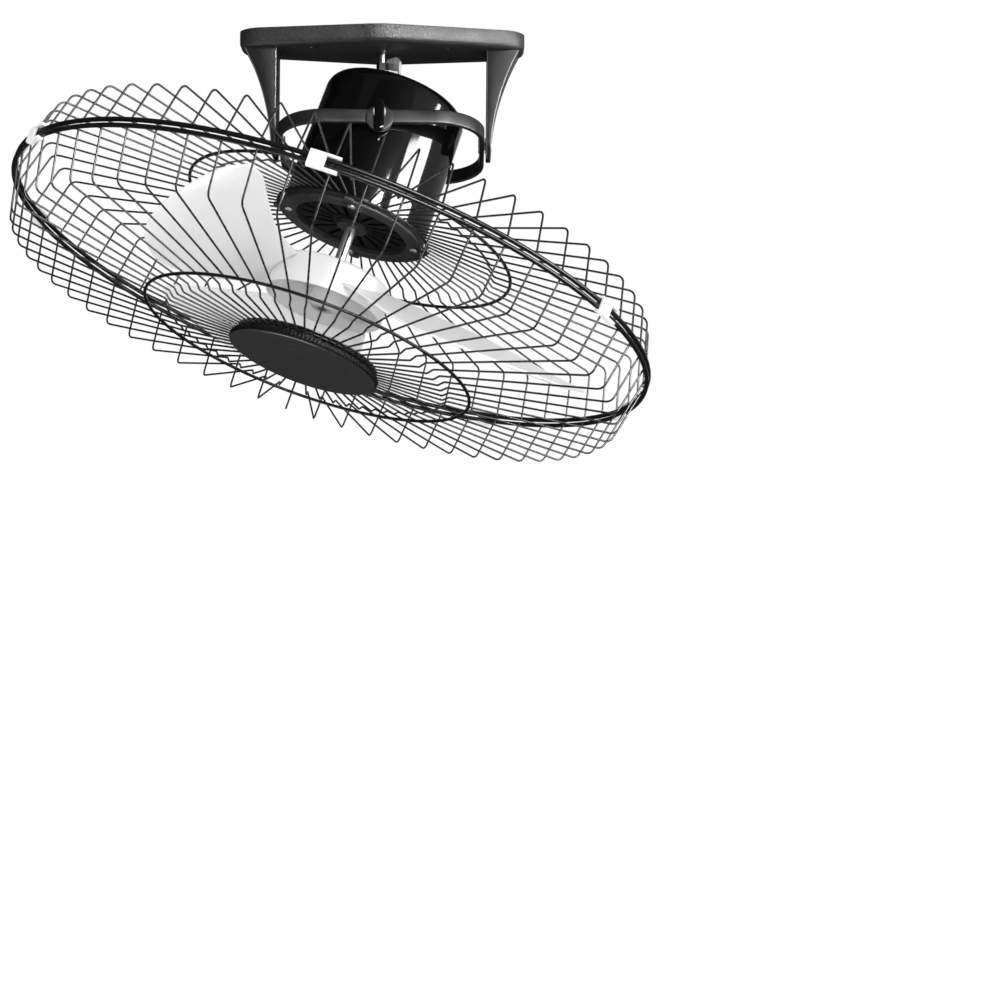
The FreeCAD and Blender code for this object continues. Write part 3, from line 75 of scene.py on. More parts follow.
# %% Camera
FOCAL_LENGTH = 93.46
CAMERA_PLACE = (0.073, -2.377, -0.478)
CAMERA_PAN, CAMERA_TILT, CAMERA_ROLL = -0.92, 1.27, -0.46
camera_data = bpy.data.cameras.new("photo_camera")
camera_data.sensor_width = 36.0
camera_data.lens = FOCAL_LENGTH
camera_data.clip_end = 60.0
camera = bpy.data.objects.new("photo_camera", camera_data)
bpy.context.collection.objects.link(camera)
bpy.context.scene.camera = camera
aim = (Matrix.Rotation(math.radians(CAMERA_PAN), 4, "Z")
       @ Matrix.Rotation(math.radians(CAMERA_TILT), 4, "X")
       @ Matrix.Rotation(math.radians(CAMERA_ROLL), 4, "Y"))
look_along_y = Matrix.Rotation(math.radians(90), 4, "X")
camera.matrix_world = Matrix.Translation(CAMERA_PLACE) @ aim @ look_along_y
print("camera at", [round(v, 3) for v in camera.matrix_world.translation])

# %% [markdown]
# A studio picture on white needs a bright background but only plain light on the object. A white world of
# strength 1 gives both: it renders as white, and it lights the fan evenly from every side.

# %% World
scene = bpy.context.scene
scene.view_settings.view_transform = "Standard"
world = bpy.data.worlds.new("white_studio")
scene.world = world
world.use_nodes = True
backdrop = world.node_tree.nodes["Background"]
backdrop.inputs["Color"].default_value = (1, 1, 1, 1)
backdrop.inputs["Strength"].default_value = 1.0
print("world:", world.name)

# %% [markdown]
# The floor shows a soft shadow under the fan and fades into the white further off. Its material mixes
# paint, which takes the shadow, with a white glow that grows with the distance. Light Path tells the rays
# apart: the eye, mirrors and glass see the glow, but it throws no light on the fan.

# %% Floor
FLOOR_Z = -1.15
FLOOR_CORNERS = [(-14, -6, 0), (14, -6, 0), (14, 22, 0), (-14, 22, 0)]
FADE_START, FADE_STOP = 0.7, 1.5
GLOW_NEAR, GLOW_FAR = 0.6, 1.0


def seen_directly(tree):
    """One for rays from the camera and for mirror or glass rays, zero for light that falls on things."""
    path = tree.nodes.new("ShaderNodeLightPath")
    total = path.outputs["Is Camera Ray"]
    for name in ("Is Glossy Ray", "Is Transmission Ray"):
        either = tree.nodes.new("ShaderNodeMath")
        either.operation = "MAXIMUM"
        tree.links.new(total, either.inputs[0])
        tree.links.new(path.outputs[name], either.inputs[1])
        total = either.outputs[0]
    return total


def glow_by_distance(tree):
    """The glow's share, which grows from near the fan to far from it, for rays that see it."""
    spot = tree.nodes.new("ShaderNodeTexCoord")
    away = tree.nodes.new("ShaderNodeVectorMath")
    away.operation = "LENGTH"
    fade = tree.nodes.new("ShaderNodeMapRange")
    fade.inputs["From Min"].default_value = FADE_START
    fade.inputs["From Max"].default_value = FADE_STOP
    fade.inputs["To Min"].default_value = GLOW_NEAR
    fade.inputs["To Max"].default_value = GLOW_FAR
    share = tree.nodes.new("ShaderNodeMath")
    share.operation = "MULTIPLY"
    tree.links.new(spot.outputs["Object"], away.inputs[0])
    tree.links.new(away.outputs["Value"], fade.inputs["Value"])
    tree.links.new(fade.outputs["Result"], share.inputs[0])
    tree.links.new(seen_directly(tree), share.inputs[1])
    return share.outputs["Value"]


floor_finish = bpy.data.materials.new("pale_floor")
floor_finish.use_nodes = True
floor_tree = floor_finish.node_tree
paint = floor_tree.nodes["Principled BSDF"]
paint.inputs["Base Color"].default_value = (0.86, 0.86, 0.86, 1)
paint.inputs["Roughness"].default_value = 0.9
glow = floor_tree.nodes.new("ShaderNodeEmission")
both = floor_tree.nodes.new("ShaderNodeMixShader")
floor_tree.links.new(glow_by_distance(floor_tree), both.inputs["Fac"])
floor_tree.links.new(paint.outputs["BSDF"], both.inputs[1])
floor_tree.links.new(glow.outputs["Emission"], both.inputs[2])
floor_tree.links.new(both.outputs["Shader"], floor_tree.nodes["Material Output"].inputs["Surface"])

floor_mesh = bpy.data.meshes.new("studio_floor")
floor_mesh.from_pydata(FLOOR_CORNERS, [], [(0, 1, 2, 3)])
floor_mesh.materials.append(floor_finish)
floor = bpy.data.objects.new("studio_floor", floor_mesh)
bpy.context.collection.objects.link(floor)
floor.location.z = FLOOR_Z
print("floor at", FLOOR_Z)

# %% [markdown]
# White all round does most of the lighting, and three soft boxes shape it: a large one low on the left,
# which reaches under the tilted blades, one above, and one low in front for the hub. Reflections don't
# see them, so they leave no patches on the polished case.

# %% Lamps
FAN_MIDDLE = Vector((0.0, 0.0, -0.2))


def soft_box(name, place, wide, tall, power):
    """A rectangular lamp that faces the middle of the fan."""
    lamp = bpy.data.lights.new(name, "AREA")
    lamp.shape = "RECTANGLE"
    lamp.size = wide
    lamp.size_y = tall
    lamp.energy = power
    box = bpy.data.objects.new(name, lamp)
    bpy.context.collection.objects.link(box)
    box.location = place
    box.rotation_euler = (FAN_MIDDLE - Vector(place)).to_track_quat("-Z", "Y").to_euler()
    box.visible_glossy = False
    print("lamp", name, "of", power, "W")


soft_box("left_box", (-1.9, -1.3, -0.4), wide=1.4, tall=1.6, power=10)
soft_box("top_box", (0.6, -1.0, 1.3), wide=1.6, tall=1.2, power=11)
soft_box("low_box", (0.7, -1.3, -1.0), wide=1.2, tall=0.8, power=11)

# %% [markdown]
# What a glossy case shows is its surroundings, so those are dressed too. Dark curtains all round keep the
# case black. A bright panel cut to shape gives the long streak down its side, a second one gives the
# plate's front its sheen, and a small one on the floor picks out the plate's lower edge. They are stage
# panels that only reflections see, so they neither light nor shade the white blades.

# %% A panel for reflections
def mirror_panel(name, corners, shade):
    """A panel over corner points that only mirror reflections see, bright or dark."""
    mesh = bpy.data.meshes.new(name)
    mesh.from_pydata(corners, [], [list(range(len(corners)))])
    panel = bpy.data.objects.new(name, mesh)
    bpy.context.collection.objects.link(panel)
    panel.visible_camera = False
    panel.visible_diffuse = False
    panel.visible_shadow = False
    material = bpy.data.materials.new(name)
    material.use_nodes = True
    shine = material.node_tree.nodes.new("ShaderNodeEmission")
    shine.inputs["Color"].default_value = (1, 1, 1, 1)
    shine.inputs["Strength"].default_value = shade
    out = material.node_tree.nodes["Material Output"]
    material.node_tree.links.new(shine.outputs["Emission"], out.inputs["Surface"])
    mesh.materials.append(material)
    print(name, "shines at", shade)


# %% Dark curtains
LEFT, RIGHT, FRONT, BACK, LOW, HIGH = -3.2, 3.2, -3.6, 12.0, -1.1, 4.0
BACK_HIGH = -0.05
BLACK, DIM, GREY = 0.03, 0.10, 0.30
front_left, front_right = (LEFT, FRONT), (RIGHT, FRONT)
back_left, back_right = (LEFT, BACK), (RIGHT, BACK)
UPRIGHT_CURTAINS = [
    ("curtain_front", front_left, front_right, HIGH, BLACK),
    ("curtain_left", front_left, back_left, HIGH, BLACK),
    ("curtain_right", front_right, back_right, HIGH, GREY),
    ("curtain_back", back_left, back_right, BACK_HIGH, BLACK),
]
for name, start, stop, top, shade in UPRIGHT_CURTAINS:
    mirror_panel(name, [(*start, LOW), (*stop, LOW), (*stop, top), (*start, top)], shade)
for name, height, shade in (("curtain_floor", LOW, BLACK), ("curtain_top", HIGH, DIM)):
    mirror_panel(name, [(*spot, height) for spot in (front_left, front_right, back_right, back_left)], shade)

# %% Bright panels
PANEL_AWAY = 1.754
STREAK_RIM = [(53, -0.6), (88, -0.6), (88, 0.02), (83, 0.17), (82, 0.27), (73, 0.27), (64, 0.277), (53, 0.40)]
PLATE_RIM = [(8, 0.0), (24, 0.0), (40, 0.0), (40, 0.42), (24, 0.46), (8, 0.42)]
EDGE_RIM = [(-0.9, -0.5, -1.05), (-0.3, -0.5, -1.05), (-0.3, 0.2, -1.05), (-0.9, 0.2, -1.05)]


def round_the_fan(heading, height):
    """A point at a heading, in degrees from the camera's side, and a height in metres."""
    turn = math.radians(heading)
    return (PANEL_AWAY * math.sin(turn), -PANEL_AWAY * math.cos(turn), height)


mirror_panel("streak_panel", [round_the_fan(*spot) for spot in STREAK_RIM], shade=24.0)
mirror_panel("plate_panel", [round_the_fan(*spot) for spot in PLATE_RIM], shade=64.0)
mirror_panel("edge_panel", EDGE_RIM, shade=5.0)

# %% [markdown]
# No real surface is one flat colour. Each finish below starts from Blender's Principled shader with its
# plain numbers set on the sockets, and then gets grain from noise: a bump for the texture that the
# fingers would feel, and a slight drift of colour and gloss for the wear that the eye sees. Object
# coordinates are in metres, so a noise scale of 1000 means grains of about a millimetre.

# %% A plain finish and its noise
def shader_of(material):
    return material.node_tree.nodes["Principled BSDF"]


def plain_finish(name, colour, roughness, metallic=0.0, coat=0.0, specular=0.5):
    """A finish of one colour and one gloss."""
    material = bpy.data.materials.new(name)
    material.use_nodes = True
    sockets = shader_of(material).inputs
    sockets["Base Color"].default_value = (*colour, 1)
    sockets["Roughness"].default_value = roughness
    sockets["Metallic"].default_value = metallic
    sockets["Coat Weight"].default_value = coat
    sockets["Specular IOR Level"].default_value = specular
    print("finish", name)
    return material


def noise_of(material, scale, detail, stretch):
    """Noise in the piece's own metres; a stretch over 1 squeezes the grains along that axis."""
    tree = material.node_tree
    where = tree.nodes.new("ShaderNodeTexCoord")
    pull = tree.nodes.new("ShaderNodeMapping")
    pull.inputs["Scale"].default_value = stretch
    noise = tree.nodes.new("ShaderNodeTexNoise")
    noise.inputs["Scale"].default_value = scale
    noise.inputs["Detail"].default_value = detail
    tree.links.new(where.outputs["Object"], pull.inputs["Vector"])
    tree.links.new(pull.outputs["Vector"], noise.inputs["Vector"])
    return noise.outputs["Fac"]


def grey(value):
    """A neutral dark with a trace of blue."""
    return (value, value, value * 1.03)


# %% Grain, and drifts of colour and gloss
EVEN = (1, 1, 1)
DRIFT_LOW, DRIFT_HIGH = 0.3, 0.7


def emboss(material, scale, depth_mm, strength, detail=3.0, stretch=EVEN):
    """Presses noise into the surface, and gives back the bumped normal."""
    tree = material.node_tree
    bump = tree.nodes.new("ShaderNodeBump")
    bump.inputs["Strength"].default_value = strength
    bump.inputs["Distance"].default_value = depth_mm * MM
    tree.links.new(noise_of(material, scale, detail, stretch), bump.inputs["Height"])
    tree.links.new(bump.outputs["Normal"], shader_of(material).inputs["Normal"])
    return bump.outputs["Normal"]


def drift_colour(material, scale, dark, light, detail=3.0):
    """Lets the colour wander between two close shades."""
    tree = material.node_tree
    ramp = tree.nodes.new("ShaderNodeValToRGB")
    first, last = ramp.color_ramp.elements
    first.position = DRIFT_LOW
    first.color = (*dark, 1)
    last.position = DRIFT_HIGH
    last.color = (*light, 1)
    tree.links.new(noise_of(material, scale, detail, EVEN), ramp.inputs["Fac"])
    tree.links.new(ramp.outputs["Color"], shader_of(material).inputs["Base Color"])


def drift_gloss(material, scale, low, high, detail=3.0, stretch=EVEN):
    """Lets the roughness wander between two values."""
    tree = material.node_tree
    spread = tree.nodes.new("ShaderNodeMapRange")
    spread.inputs["From Min"].default_value = DRIFT_LOW
    spread.inputs["From Max"].default_value = DRIFT_HIGH
    spread.inputs["To Min"].default_value = low
    spread.inputs["To Max"].default_value = high
    tree.links.new(noise_of(material, scale, detail, stretch), spread.inputs["Value"])
    tree.links.new(spread.outputs["Result"], shader_of(material).inputs["Roughness"])


# %% [markdown]
# The dark plastics differ in their skin. The ceiling plate is spark-eroded: a fine, even, sandy grain
# that scatters light into a grey sheen. The arms and caps are smoother. The arms' round corners get a
# lighter finish, a painted highlight, and their inner faces a darker one, painted shade. The motor's case
# is polished like a piano, with only the faint waviness that moulding leaves, so it gets a clear coat over
# a nearly black base.

# %% Plate and arm plastics
plate_skin = plain_finish("plate_sandy_black", grey(0.014), 0.5)
emboss(plate_skin, 900, depth_mm=0.5, strength=0.8, detail=2.0)
drift_colour(plate_skin, 700, grey(0.006), grey(0.026), detail=2.0)
drift_gloss(plate_skin, 40, 0.42, 0.56)

arm_skin = plain_finish("arm_satin_grey", grey(0.012), 0.42, specular=0.09)
emboss(arm_skin, 1400, depth_mm=0.12, strength=0.5, detail=2.0)
drift_colour(arm_skin, 25, grey(0.010), grey(0.015))
drift_gloss(arm_skin, 60, 0.36, 0.48)

# A lighter, glossier copy of the arm's finish for its round corners: a painted highlight.
arm_painted_highlight = plain_finish("arm_edge_painted_highlight", grey(0.10), 0.38)
emboss(arm_painted_highlight, 1400, depth_mm=0.06, strength=0.4, detail=2.0)
drift_gloss(arm_painted_highlight, 120, 0.30, 0.46)

# A darker, duller copy for the arms' inner faces, which look towards the motor: painted shade.
arm_painted_shade = plain_finish("arm_inner_painted_shade", grey(0.006), 0.7, specular=0.1)
emboss(arm_painted_shade, 1400, depth_mm=0.12, strength=0.5, detail=2.0)
drift_gloss(arm_painted_shade, 60, 0.62, 0.78)

# %% Motor and cap plastics
motor_gloss = plain_finish("motor_piano_black", grey(0.002), 0.40, coat=1.0, specular=0.015)
shader_of(motor_gloss).inputs["Coat Roughness"].default_value = 0.06
waves = emboss(motor_gloss, 30, depth_mm=0.25, strength=0.2, detail=1.0)
motor_gloss.node_tree.links.new(waves, shader_of(motor_gloss).inputs["Coat Normal"])
drift_gloss(motor_gloss, 30, 0.36, 0.44)

cap_gloss = plain_finish("cap_black", grey(0.026), 0.24)
emboss(cap_gloss, 45, depth_mm=0.05, strength=0.1, detail=1.0)
drift_gloss(cap_gloss, 35, 0.16, 0.28)

# %% [markdown]
# Painted metal carries a skin of its own. Powder coat flows into a faint orange peel on the guard's wires,
# and its heavy hoops are a deeper black with less sheen. The gimbal ring has a satin black, and the shield
# is a matt casting with a coarser tooth. Its sunk middle gets a blacker, duller copy of that finish: painted
# shade, which the cap's ribbed side takes too.

# %% Painted metals
guard_coat = plain_finish("guard_powder_black", grey(0.014), 0.28)
emboss(guard_coat, 400, depth_mm=0.02, strength=0.1, detail=1.0)
drift_gloss(guard_coat, 90, 0.22, 0.36)

rim_coat = plain_finish("rim_powder_black", grey(0.006), 0.30, specular=0.25)
drift_gloss(rim_coat, 60, 0.26, 0.36)

ring_coat = plain_finish("ring_satin_black", grey(0.008), 0.36)
emboss(ring_coat, 600, depth_mm=0.10, strength=0.4, detail=2.0)
drift_colour(ring_coat, 30, grey(0.006), grey(0.011))
drift_gloss(ring_coat, 50, 0.30, 0.44)

# Painted shade: a blacker, duller copy of the shield's finish, for its sunk middle and the cap's ribbed side.
painted_shade_black = plain_finish("blacker_painted_shade", grey(0.004), 0.5, specular=0.15)
emboss(painted_shade_black, 420, depth_mm=0.25, strength=0.5)
drift_gloss(painted_shade_black, 70, 0.42, 0.58)

shield_coat = plain_finish("shield_matt_black", grey(0.018), 0.5)
emboss(shield_coat, 420, depth_mm=0.30, strength=0.5)
drift_colour(shield_coat, 60, grey(0.013), grey(0.024))

nut_black = plain_finish("nut_blackened", grey(0.015), 0.35, metallic=0.6)
emboss(nut_black, 700, depth_mm=0.05, strength=0.4)

# %% [markdown]
# Bare metals are told apart by their scratches. A ground shaft has lines round its axis, zinc plate has
# pale cloudy crystals, cast aluminium is softly pitted, and a stack of laminations shows fine layers.
# Noise that is squeezed along one axis makes the lines and the layers.

# %% Bare metals
bright_steel = plain_finish("steel_ground", (0.52, 0.52, 0.53), 0.4, metallic=0.85)
emboss(bright_steel, 120, depth_mm=0.02, strength=0.4, detail=4.0, stretch=(1, 1, 30))
drift_gloss(bright_steel, 60, 0.34, 0.46, detail=4.0, stretch=(1, 1, 40))

zinc = plain_finish("zinc_sheet", (0.60, 0.61, 0.62), 0.5, metallic=0.05)
drift_colour(zinc, 160, (0.54, 0.55, 0.56), (0.66, 0.67, 0.68), detail=4.0)
drift_gloss(zinc, 120, 0.42, 0.58)

core_steel = plain_finish("core_lamination", (0.28, 0.28, 0.29), 0.45, metallic=1.0)
emboss(core_steel, 900, depth_mm=0.10, strength=0.8, detail=1.0, stretch=(0.05, 0.05, 1))
drift_gloss(core_steel, 90, 0.38, 0.55)

cast_aluminium = plain_finish("bell_cast", (0.60, 0.60, 0.61), 0.48, metallic=1.0)
emboss(cast_aluminium, 500, depth_mm=0.08, strength=0.5)
drift_colour(cast_aluminium, 80, (0.52, 0.52, 0.53), (0.66, 0.66, 0.67))

copper_wire = plain_finish("winding_enamel", (0.50, 0.20, 0.07), 0.30, metallic=0.8)
emboss(copper_wire, 700, depth_mm=0.30, strength=0.8, detail=1.0, stretch=(1, 1, 0.1))
drift_colour(copper_wire, 300, (0.38, 0.14, 0.05), (0.60, 0.26, 0.09))

bronze = plain_finish("bush_sintered", (0.45, 0.30, 0.13), 0.42, metallic=1.0)
emboss(bronze, 1500, depth_mm=0.05, strength=0.6)
drift_colour(bronze, 400, (0.36, 0.23, 0.10), (0.52, 0.36, 0.17))

# %% [markdown]
# The fan is moulded in a milky white plastic that lets a little light in, which is what subsurface
# scattering is for. The clips are a harder, whiter plastic, and the gears and bushes a yellower one. All
# get a very slight cloudiness or the uneven satin of a polished mould.

# %% White plastics
fan_milk = plain_finish("fan_milky_white", (0.78, 0.78, 0.775), 0.34)
shader_of(fan_milk).inputs["Subsurface Weight"].default_value = 0.6
shader_of(fan_milk).inputs["Subsurface Radius"].default_value = (1.0, 1.0, 1.0)
shader_of(fan_milk).inputs["Subsurface Scale"].default_value = 10 * MM
emboss(fan_milk, 300, depth_mm=0.03, strength=0.3, detail=1.0)
drift_colour(fan_milk, 14, (0.755, 0.755, 0.75), (0.805, 0.805, 0.80))
drift_gloss(fan_milk, 30, 0.28, 0.42)

clip_white = plain_finish("clip_white", (0.82, 0.82, 0.81), 0.36)
emboss(clip_white, 600, depth_mm=0.04, strength=0.3)
drift_gloss(clip_white, 80, 0.28, 0.42)

gear_white = plain_finish("gear_acetal", (0.74, 0.73, 0.69), 0.40)
emboss(gear_white, 500, depth_mm=0.03, strength=0.3)
drift_colour(gear_white, 60, (0.70, 0.69, 0.65), (0.77, 0.76, 0.72))

nylon = plain_finish("bush_nylon", (0.68, 0.67, 0.63), 0.45)
emboss(nylon, 700, depth_mm=0.03, strength=0.3)
drift_colour(nylon, 150, (0.64, 0.63, 0.59), (0.71, 0.70, 0.66))

tray_white = plain_finish("tray_white", (0.68, 0.68, 0.66), 0.50)
emboss(tray_white, 800, depth_mm=0.04, strength=0.4)
drift_colour(tray_white, 120, (0.64, 0.64, 0.62), (0.71, 0.71, 0.69))

# %% [markdown]
# The frame's record names a material slot for each solid. A table of those slots gives every solid its
# finish, also the ones that no new piece replaces, such as the crank and the gears. The bush in the plate
# is the one exception: it is a dark ring, so it takes the nut's black.

# %% Give each solid of the frame its finish
SLOT_FINISH = {
    "plate_black": plate_skin, "arm_grey": arm_skin, "ring_black": ring_coat, "motor_black": motor_gloss,
    "shield_black": shield_coat, "bright_steel": bright_steel, "zinc_sheet": zinc, "black_nut": nut_black,
    "core_steel": core_steel, "winding_copper": copper_wire, "bell_aluminium": cast_aluminium,
    "gear_white": gear_white, "bush_white": nylon, "bush_bronze": bronze, "fan_white": fan_milk,
    "guard_black": guard_coat, "clip_white": clip_white, "cap_black": cap_gloss, "tray_white": tray_white,
}
NODE_SLOT = {row["node"]: row["material_slot"] for row in frame["record"]["subparts"]}
for name, solid in nodes.items():
    for slot in solid.material_slots:
        slot.material = SLOT_FINISH[NODE_SLOT[name]]
for slot in nodes["plate_bush"].material_slots:
    slot.material = nut_black
print("slots with a finish:", len(SLOT_FINISH))

# %% [markdown]
# A few helpers make the new pieces. `new_piece` gives a mesh or a curve its finish, places it in its
# frame, hooks it to the body that carries it and says which solid it stands for. `mesh_piece` does the
# same for a shape that was built in millimetres.

# %% Adding a piece
MERGE_DISTANCE = 1e-4


def new_piece(name, data, place, body, node, extra_finish=(), finish=None):
    """Adds a piece that stands for a node, on that node's body, in that node's finish or another."""
    for material in (finish or SLOT_FINISH[NODE_SLOT[node]], *extra_finish):
        data.materials.append(material)
    data.transform(place)
    piece = bpy.data.objects.new(name, data)
    bpy.context.collection.objects.link(piece)
    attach(piece, body)
    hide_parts(node)
    print(name, "stands for", node, "on", body)


def mesh_from(shape, name, crease):
    """Turns a bmesh in millimetres into a mesh in metres, smooth except over sharp edges."""
    bmesh.ops.remove_doubles(shape, verts=shape.verts, dist=MERGE_DISTANCE)
    bmesh.ops.recalc_face_normals(shape, faces=shape.faces)
    bmesh.ops.scale(shape, vec=(MM, MM, MM), verts=shape.verts)
    mesh = bpy.data.meshes.new(name)
    shape.to_mesh(mesh)
    shape.free()
    for face in mesh.polygons:
        face.use_smooth = True
    mesh.set_sharp_from_angle(angle=math.radians(crease))
    return mesh


def mesh_piece(name, shape, place, body, node, crease=35, extra_finish=(), finish=None):
    """Adds a piece made from a bmesh; edges sharper than the crease, in degrees, stay sharp."""
    new_piece(name, mesh_from(shape, name, crease), place, body, node, extra_finish, finish)


# %% [markdown]
# Most shapes here are loops of points that are joined into skins. `round_corners` draws an outline with
# arcs at its corners, `band` joins two loops, and `turned` spins an outline about the axis, as a lathe
# does. They could be modifiers on simple meshes, but loops give exact sizes and a clean mesh.

# %% Outlines and loops
def round_corners(outline, closed=True, steps=5):
    """Replaces each corner (a, b, radius) of an outline by an arc."""
    points = []
    count = len(outline)
    for i, (a, b, radius) in enumerate(outline):
        here = Vector((a, b))
        if radius == 0 or (not closed and i in (0, count - 1)):
            points.append(here)
            continue
        before = (Vector(outline[i - 1][:2]) - here).normalized()
        after = (Vector(outline[(i + 1) % count][:2]) - here).normalized()
        half = before.angle(after) / 2
        centre = here + (before + after).normalized() * (radius / math.sin(half))
        start = here + before * (radius / math.tan(half)) - centre
        stop = here + after * (radius / math.tan(half)) - centre
        turn = start.angle_signed(stop)
        for k in range(steps + 1):
            spun = Matrix.Rotation(-turn * k / steps, 2) @ start
            points.append(centre + spun)
    return points


def full_turn(count):
    """Evenly spaced angles round a circle."""
    return [2 * math.pi * k / count for k in range(count)]


def band(shape, low, high):
    """Joins two closed loops with a strip of faces, and gives back the faces."""
    faces = []
    for i in range(len(low)):
        j = (i + 1) % len(low)
        faces.append(shape.faces.new((low[i], low[j], high[j], high[i])))
    return faces


def stack(shape, loops):
    """Joins each loop to the next and closes both ends; gives back the last end's face."""
    for low, high in zip(loops, loops[1:]):
        band(shape, low, high)
    shape.faces.new(loops[0])
    return shape.faces.new(loops[-1])


# %% Turned shapes, slabs and joined shapes
AXIS = 0.01


def turned(shape, outline, sides=96, steps=5):
    """Spins a closed outline of (radius, height, corner radius) about Z; AXIS stands for the centre."""
    rings = []
    for point in round_corners(outline, steps=steps):
        ring = []
        for angle in full_turn(sides):
            ring.append(shape.verts.new((point.x * math.cos(angle), point.x * math.sin(angle), point.y)))
        rings.append(ring)
    for low, high in zip(rings, rings[1:] + rings[:1]):
        band(shape, low, high)


def slab(shape, corners, low, high):
    """A flat slab between two heights over a plan outline."""
    bottom = [shape.verts.new((x, y, low)) for x, y in corners]
    top = [shape.verts.new((x, y, high)) for x, y in corners]
    shape.faces.new(bottom)
    shape.faces.new(top)
    band(shape, bottom, top)


def bar_plan(x, half_x, half_y):
    """The plan of a bar about a point on the X axis."""
    return [(x - half_x, -half_y), (x + half_x, -half_y), (x + half_x, half_y), (x - half_x, half_y)]


def add_shape(shape, other, place):
    """Moves one bmesh to its place and adds it to another."""
    bmesh.ops.transform(other, matrix=place, verts=other.verts)
    loose = bpy.data.meshes.new("loose")
    other.to_mesh(loose)
    other.free()
    shape.from_mesh(loose)
    bpy.data.meshes.remove(loose)


def paint_from(shape, first, finish_number):
    """Gives all faces from the first one counted on another of the piece's finishes."""
    shape.faces.ensure_lookup_table()
    for face in shape.faces[first:]:
        face.material_index = finish_number


# %% [markdown]
# ## The wire guard
# Each half is sixty round wires: up from the rim, over a shoulder, in towards the middle ring with a
# little kink under it, and on to the hub. A curve with a round bevel is the natural way to make wire,
# and one curve can hold all sixty as separate splines. Heights count from the plane between the rims.

# %% Paths of the guard wires
WIRE_COUNT = 60
WIRE_START = 3.0
WIRE_RADIUS = 0.92
RIM_DROP = 144.0
WIRE_FOOT, WIRE_FOOT_HEIGHT = 297.2, 2.2
SHOULDER, SHOULDER_BEND = 286.5, 8.0
KINK_BEND = 3.0
BEND_STEPS = 6
REAR_PATH = round_corners([
    (WIRE_FOOT, WIRE_FOOT_HEIGHT, 0), (SHOULDER, 45.0, SHOULDER_BEND),
    (138.8, 52.0, KINK_BEND), (131.5, 57.3, KINK_BEND), (69.5, 64.35, 0)], closed=False, steps=BEND_STEPS)
FRONT_PATH = round_corners([
    (WIRE_FOOT, -WIRE_FOOT_HEIGHT, 0), (SHOULDER, -48.0, SHOULDER_BEND),
    (134.5, -64.6, KINK_BEND), (129.5, -69.0, KINK_BEND), (60.0, -70.5, 0)], closed=False, steps=BEND_STEPS)
print("points in one wire:", len(REAR_PATH))

# %% Wires of the guard
def wire_curve(name, radius, roundness=3):
    """An empty curve with a round section."""
    curve = bpy.data.curves.new(name, "CURVE")
    curve.dimensions = "3D"
    curve.bevel_depth = radius * MM
    curve.bevel_resolution = roundness
    curve.use_fill_caps = True
    return curve


def add_run(curve, points, cyclic=False):
    """Adds one run of wire through points in millimetres."""
    run = curve.splines.new("POLY")
    run.points.add(len(points) - 1)
    for spot, point in zip(run.points, points):
        spot.co = (point[0] * MM, point[1] * MM, point[2] * MM, 1)
    run.use_cyclic_u = cyclic
    run.use_smooth = True


def wire_set(name, path, node):
    """All wires of one half of the guard."""
    curve = wire_curve(name, WIRE_RADIUS)
    for k in range(WIRE_COUNT):
        angle = math.radians(WIRE_START + 360.0 * k / WIRE_COUNT)
        way = (math.cos(angle), math.sin(angle))
        add_run(curve, [(p.x * way[0], p.x * way[1], p.y - RIM_DROP) for p in path])
    new_piece(name, curve, HEAD, "motor_unit", node)


wire_set("rear_wires_round", REAR_PATH, "rear_guard_wires")
wire_set("front_wires_round", FRONT_PATH, "front_guard_wires")

# %% [markdown]
# Each half has three hoops: a thick rim, a middle ring and a ring round the hub. A torus would do as well,
# but a closed run of wire needs no second helper. The two rims lie close together, and the clips hold
# them there.

# %% Rings and rims of the guard
RIM_RADIUS, RIM_WIRE, RIM_HALF_GAP = 299.75, 2.1, 2.75
MID_RADIUS, RING_WIRE = 153.5, 1.5
GUARD_HOOPS = [
    # name, node, radius of the hoop, radius of its wire, height, sides
    ("rear_rim_round", "rear_guard_rim", RIM_RADIUS, RIM_WIRE, RIM_HALF_GAP, 200),
    ("front_rim_round", "front_guard_rim", RIM_RADIUS, RIM_WIRE, -RIM_HALF_GAP, 200),
    ("rear_mid_round", "rear_guard_mid_ring", MID_RADIUS, RING_WIRE, 53.4, 200),
    ("front_mid_round", "front_guard_mid_ring", MID_RADIUS, RING_WIRE, -64.9, 200),
    ("rear_hub_round", "rear_guard_hub_ring", 71.5, RING_WIRE, 61.35, 120),
    ("front_hub_round", "front_guard_hub_ring", 63.0, RING_WIRE, -67.5, 120),
]
for name, node, hoop_radius, wire_radius, height, sides in GUARD_HOOPS:
    hoop = wire_curve(name, wire_radius, roundness=5)
    points = []
    for angle in full_turn(sides):
        points.append((hoop_radius * math.cos(angle), hoop_radius * math.sin(angle), height - RIM_DROP))
    add_run(hoop, points, cyclic=True)
    new_piece(name, hoop, HEAD, "motor_unit", node, finish=rim_coat)

# %% [markdown]
# ## The fan
# A blade is a thin shell, bent two ways. It is described by strips across it: how far out each lies, as a
# share of the tip's radius, the headings of its leading and trailing edges, and how deep the two hang, as
# shares of the blade's depth. A smooth curve through the strips gives every strip between.

# %% Strips across one blade
BLADE_TIP = 252.0
BLADE_HIGH = -136.0
BLADE_DEPTH = 53.0
BLADE_CAMBER = 0.04
BLADE_STRIPS = [
    # share of the radius, leading heading, trailing heading, leading depth, trailing depth
    (0.2125, -20.6, -88.5, 0.05, 0.36),
    (0.300, -16.0, -75.0, 0.06, 0.54),
    (0.437, -10.5, -61.5, 0.08, 0.83),
    (0.595, -5.0, -53.5, 0.07, 1.00),
    (0.754, -1.0, -37.5, 0.08, 0.96),
    (0.893, 1.3, -18.5, 0.10, 0.66),
    (0.968, 1.0, -8.0, 0.14, 0.38),
    (1.000, 0.0, -3.0, 0.18, 0.25),
]


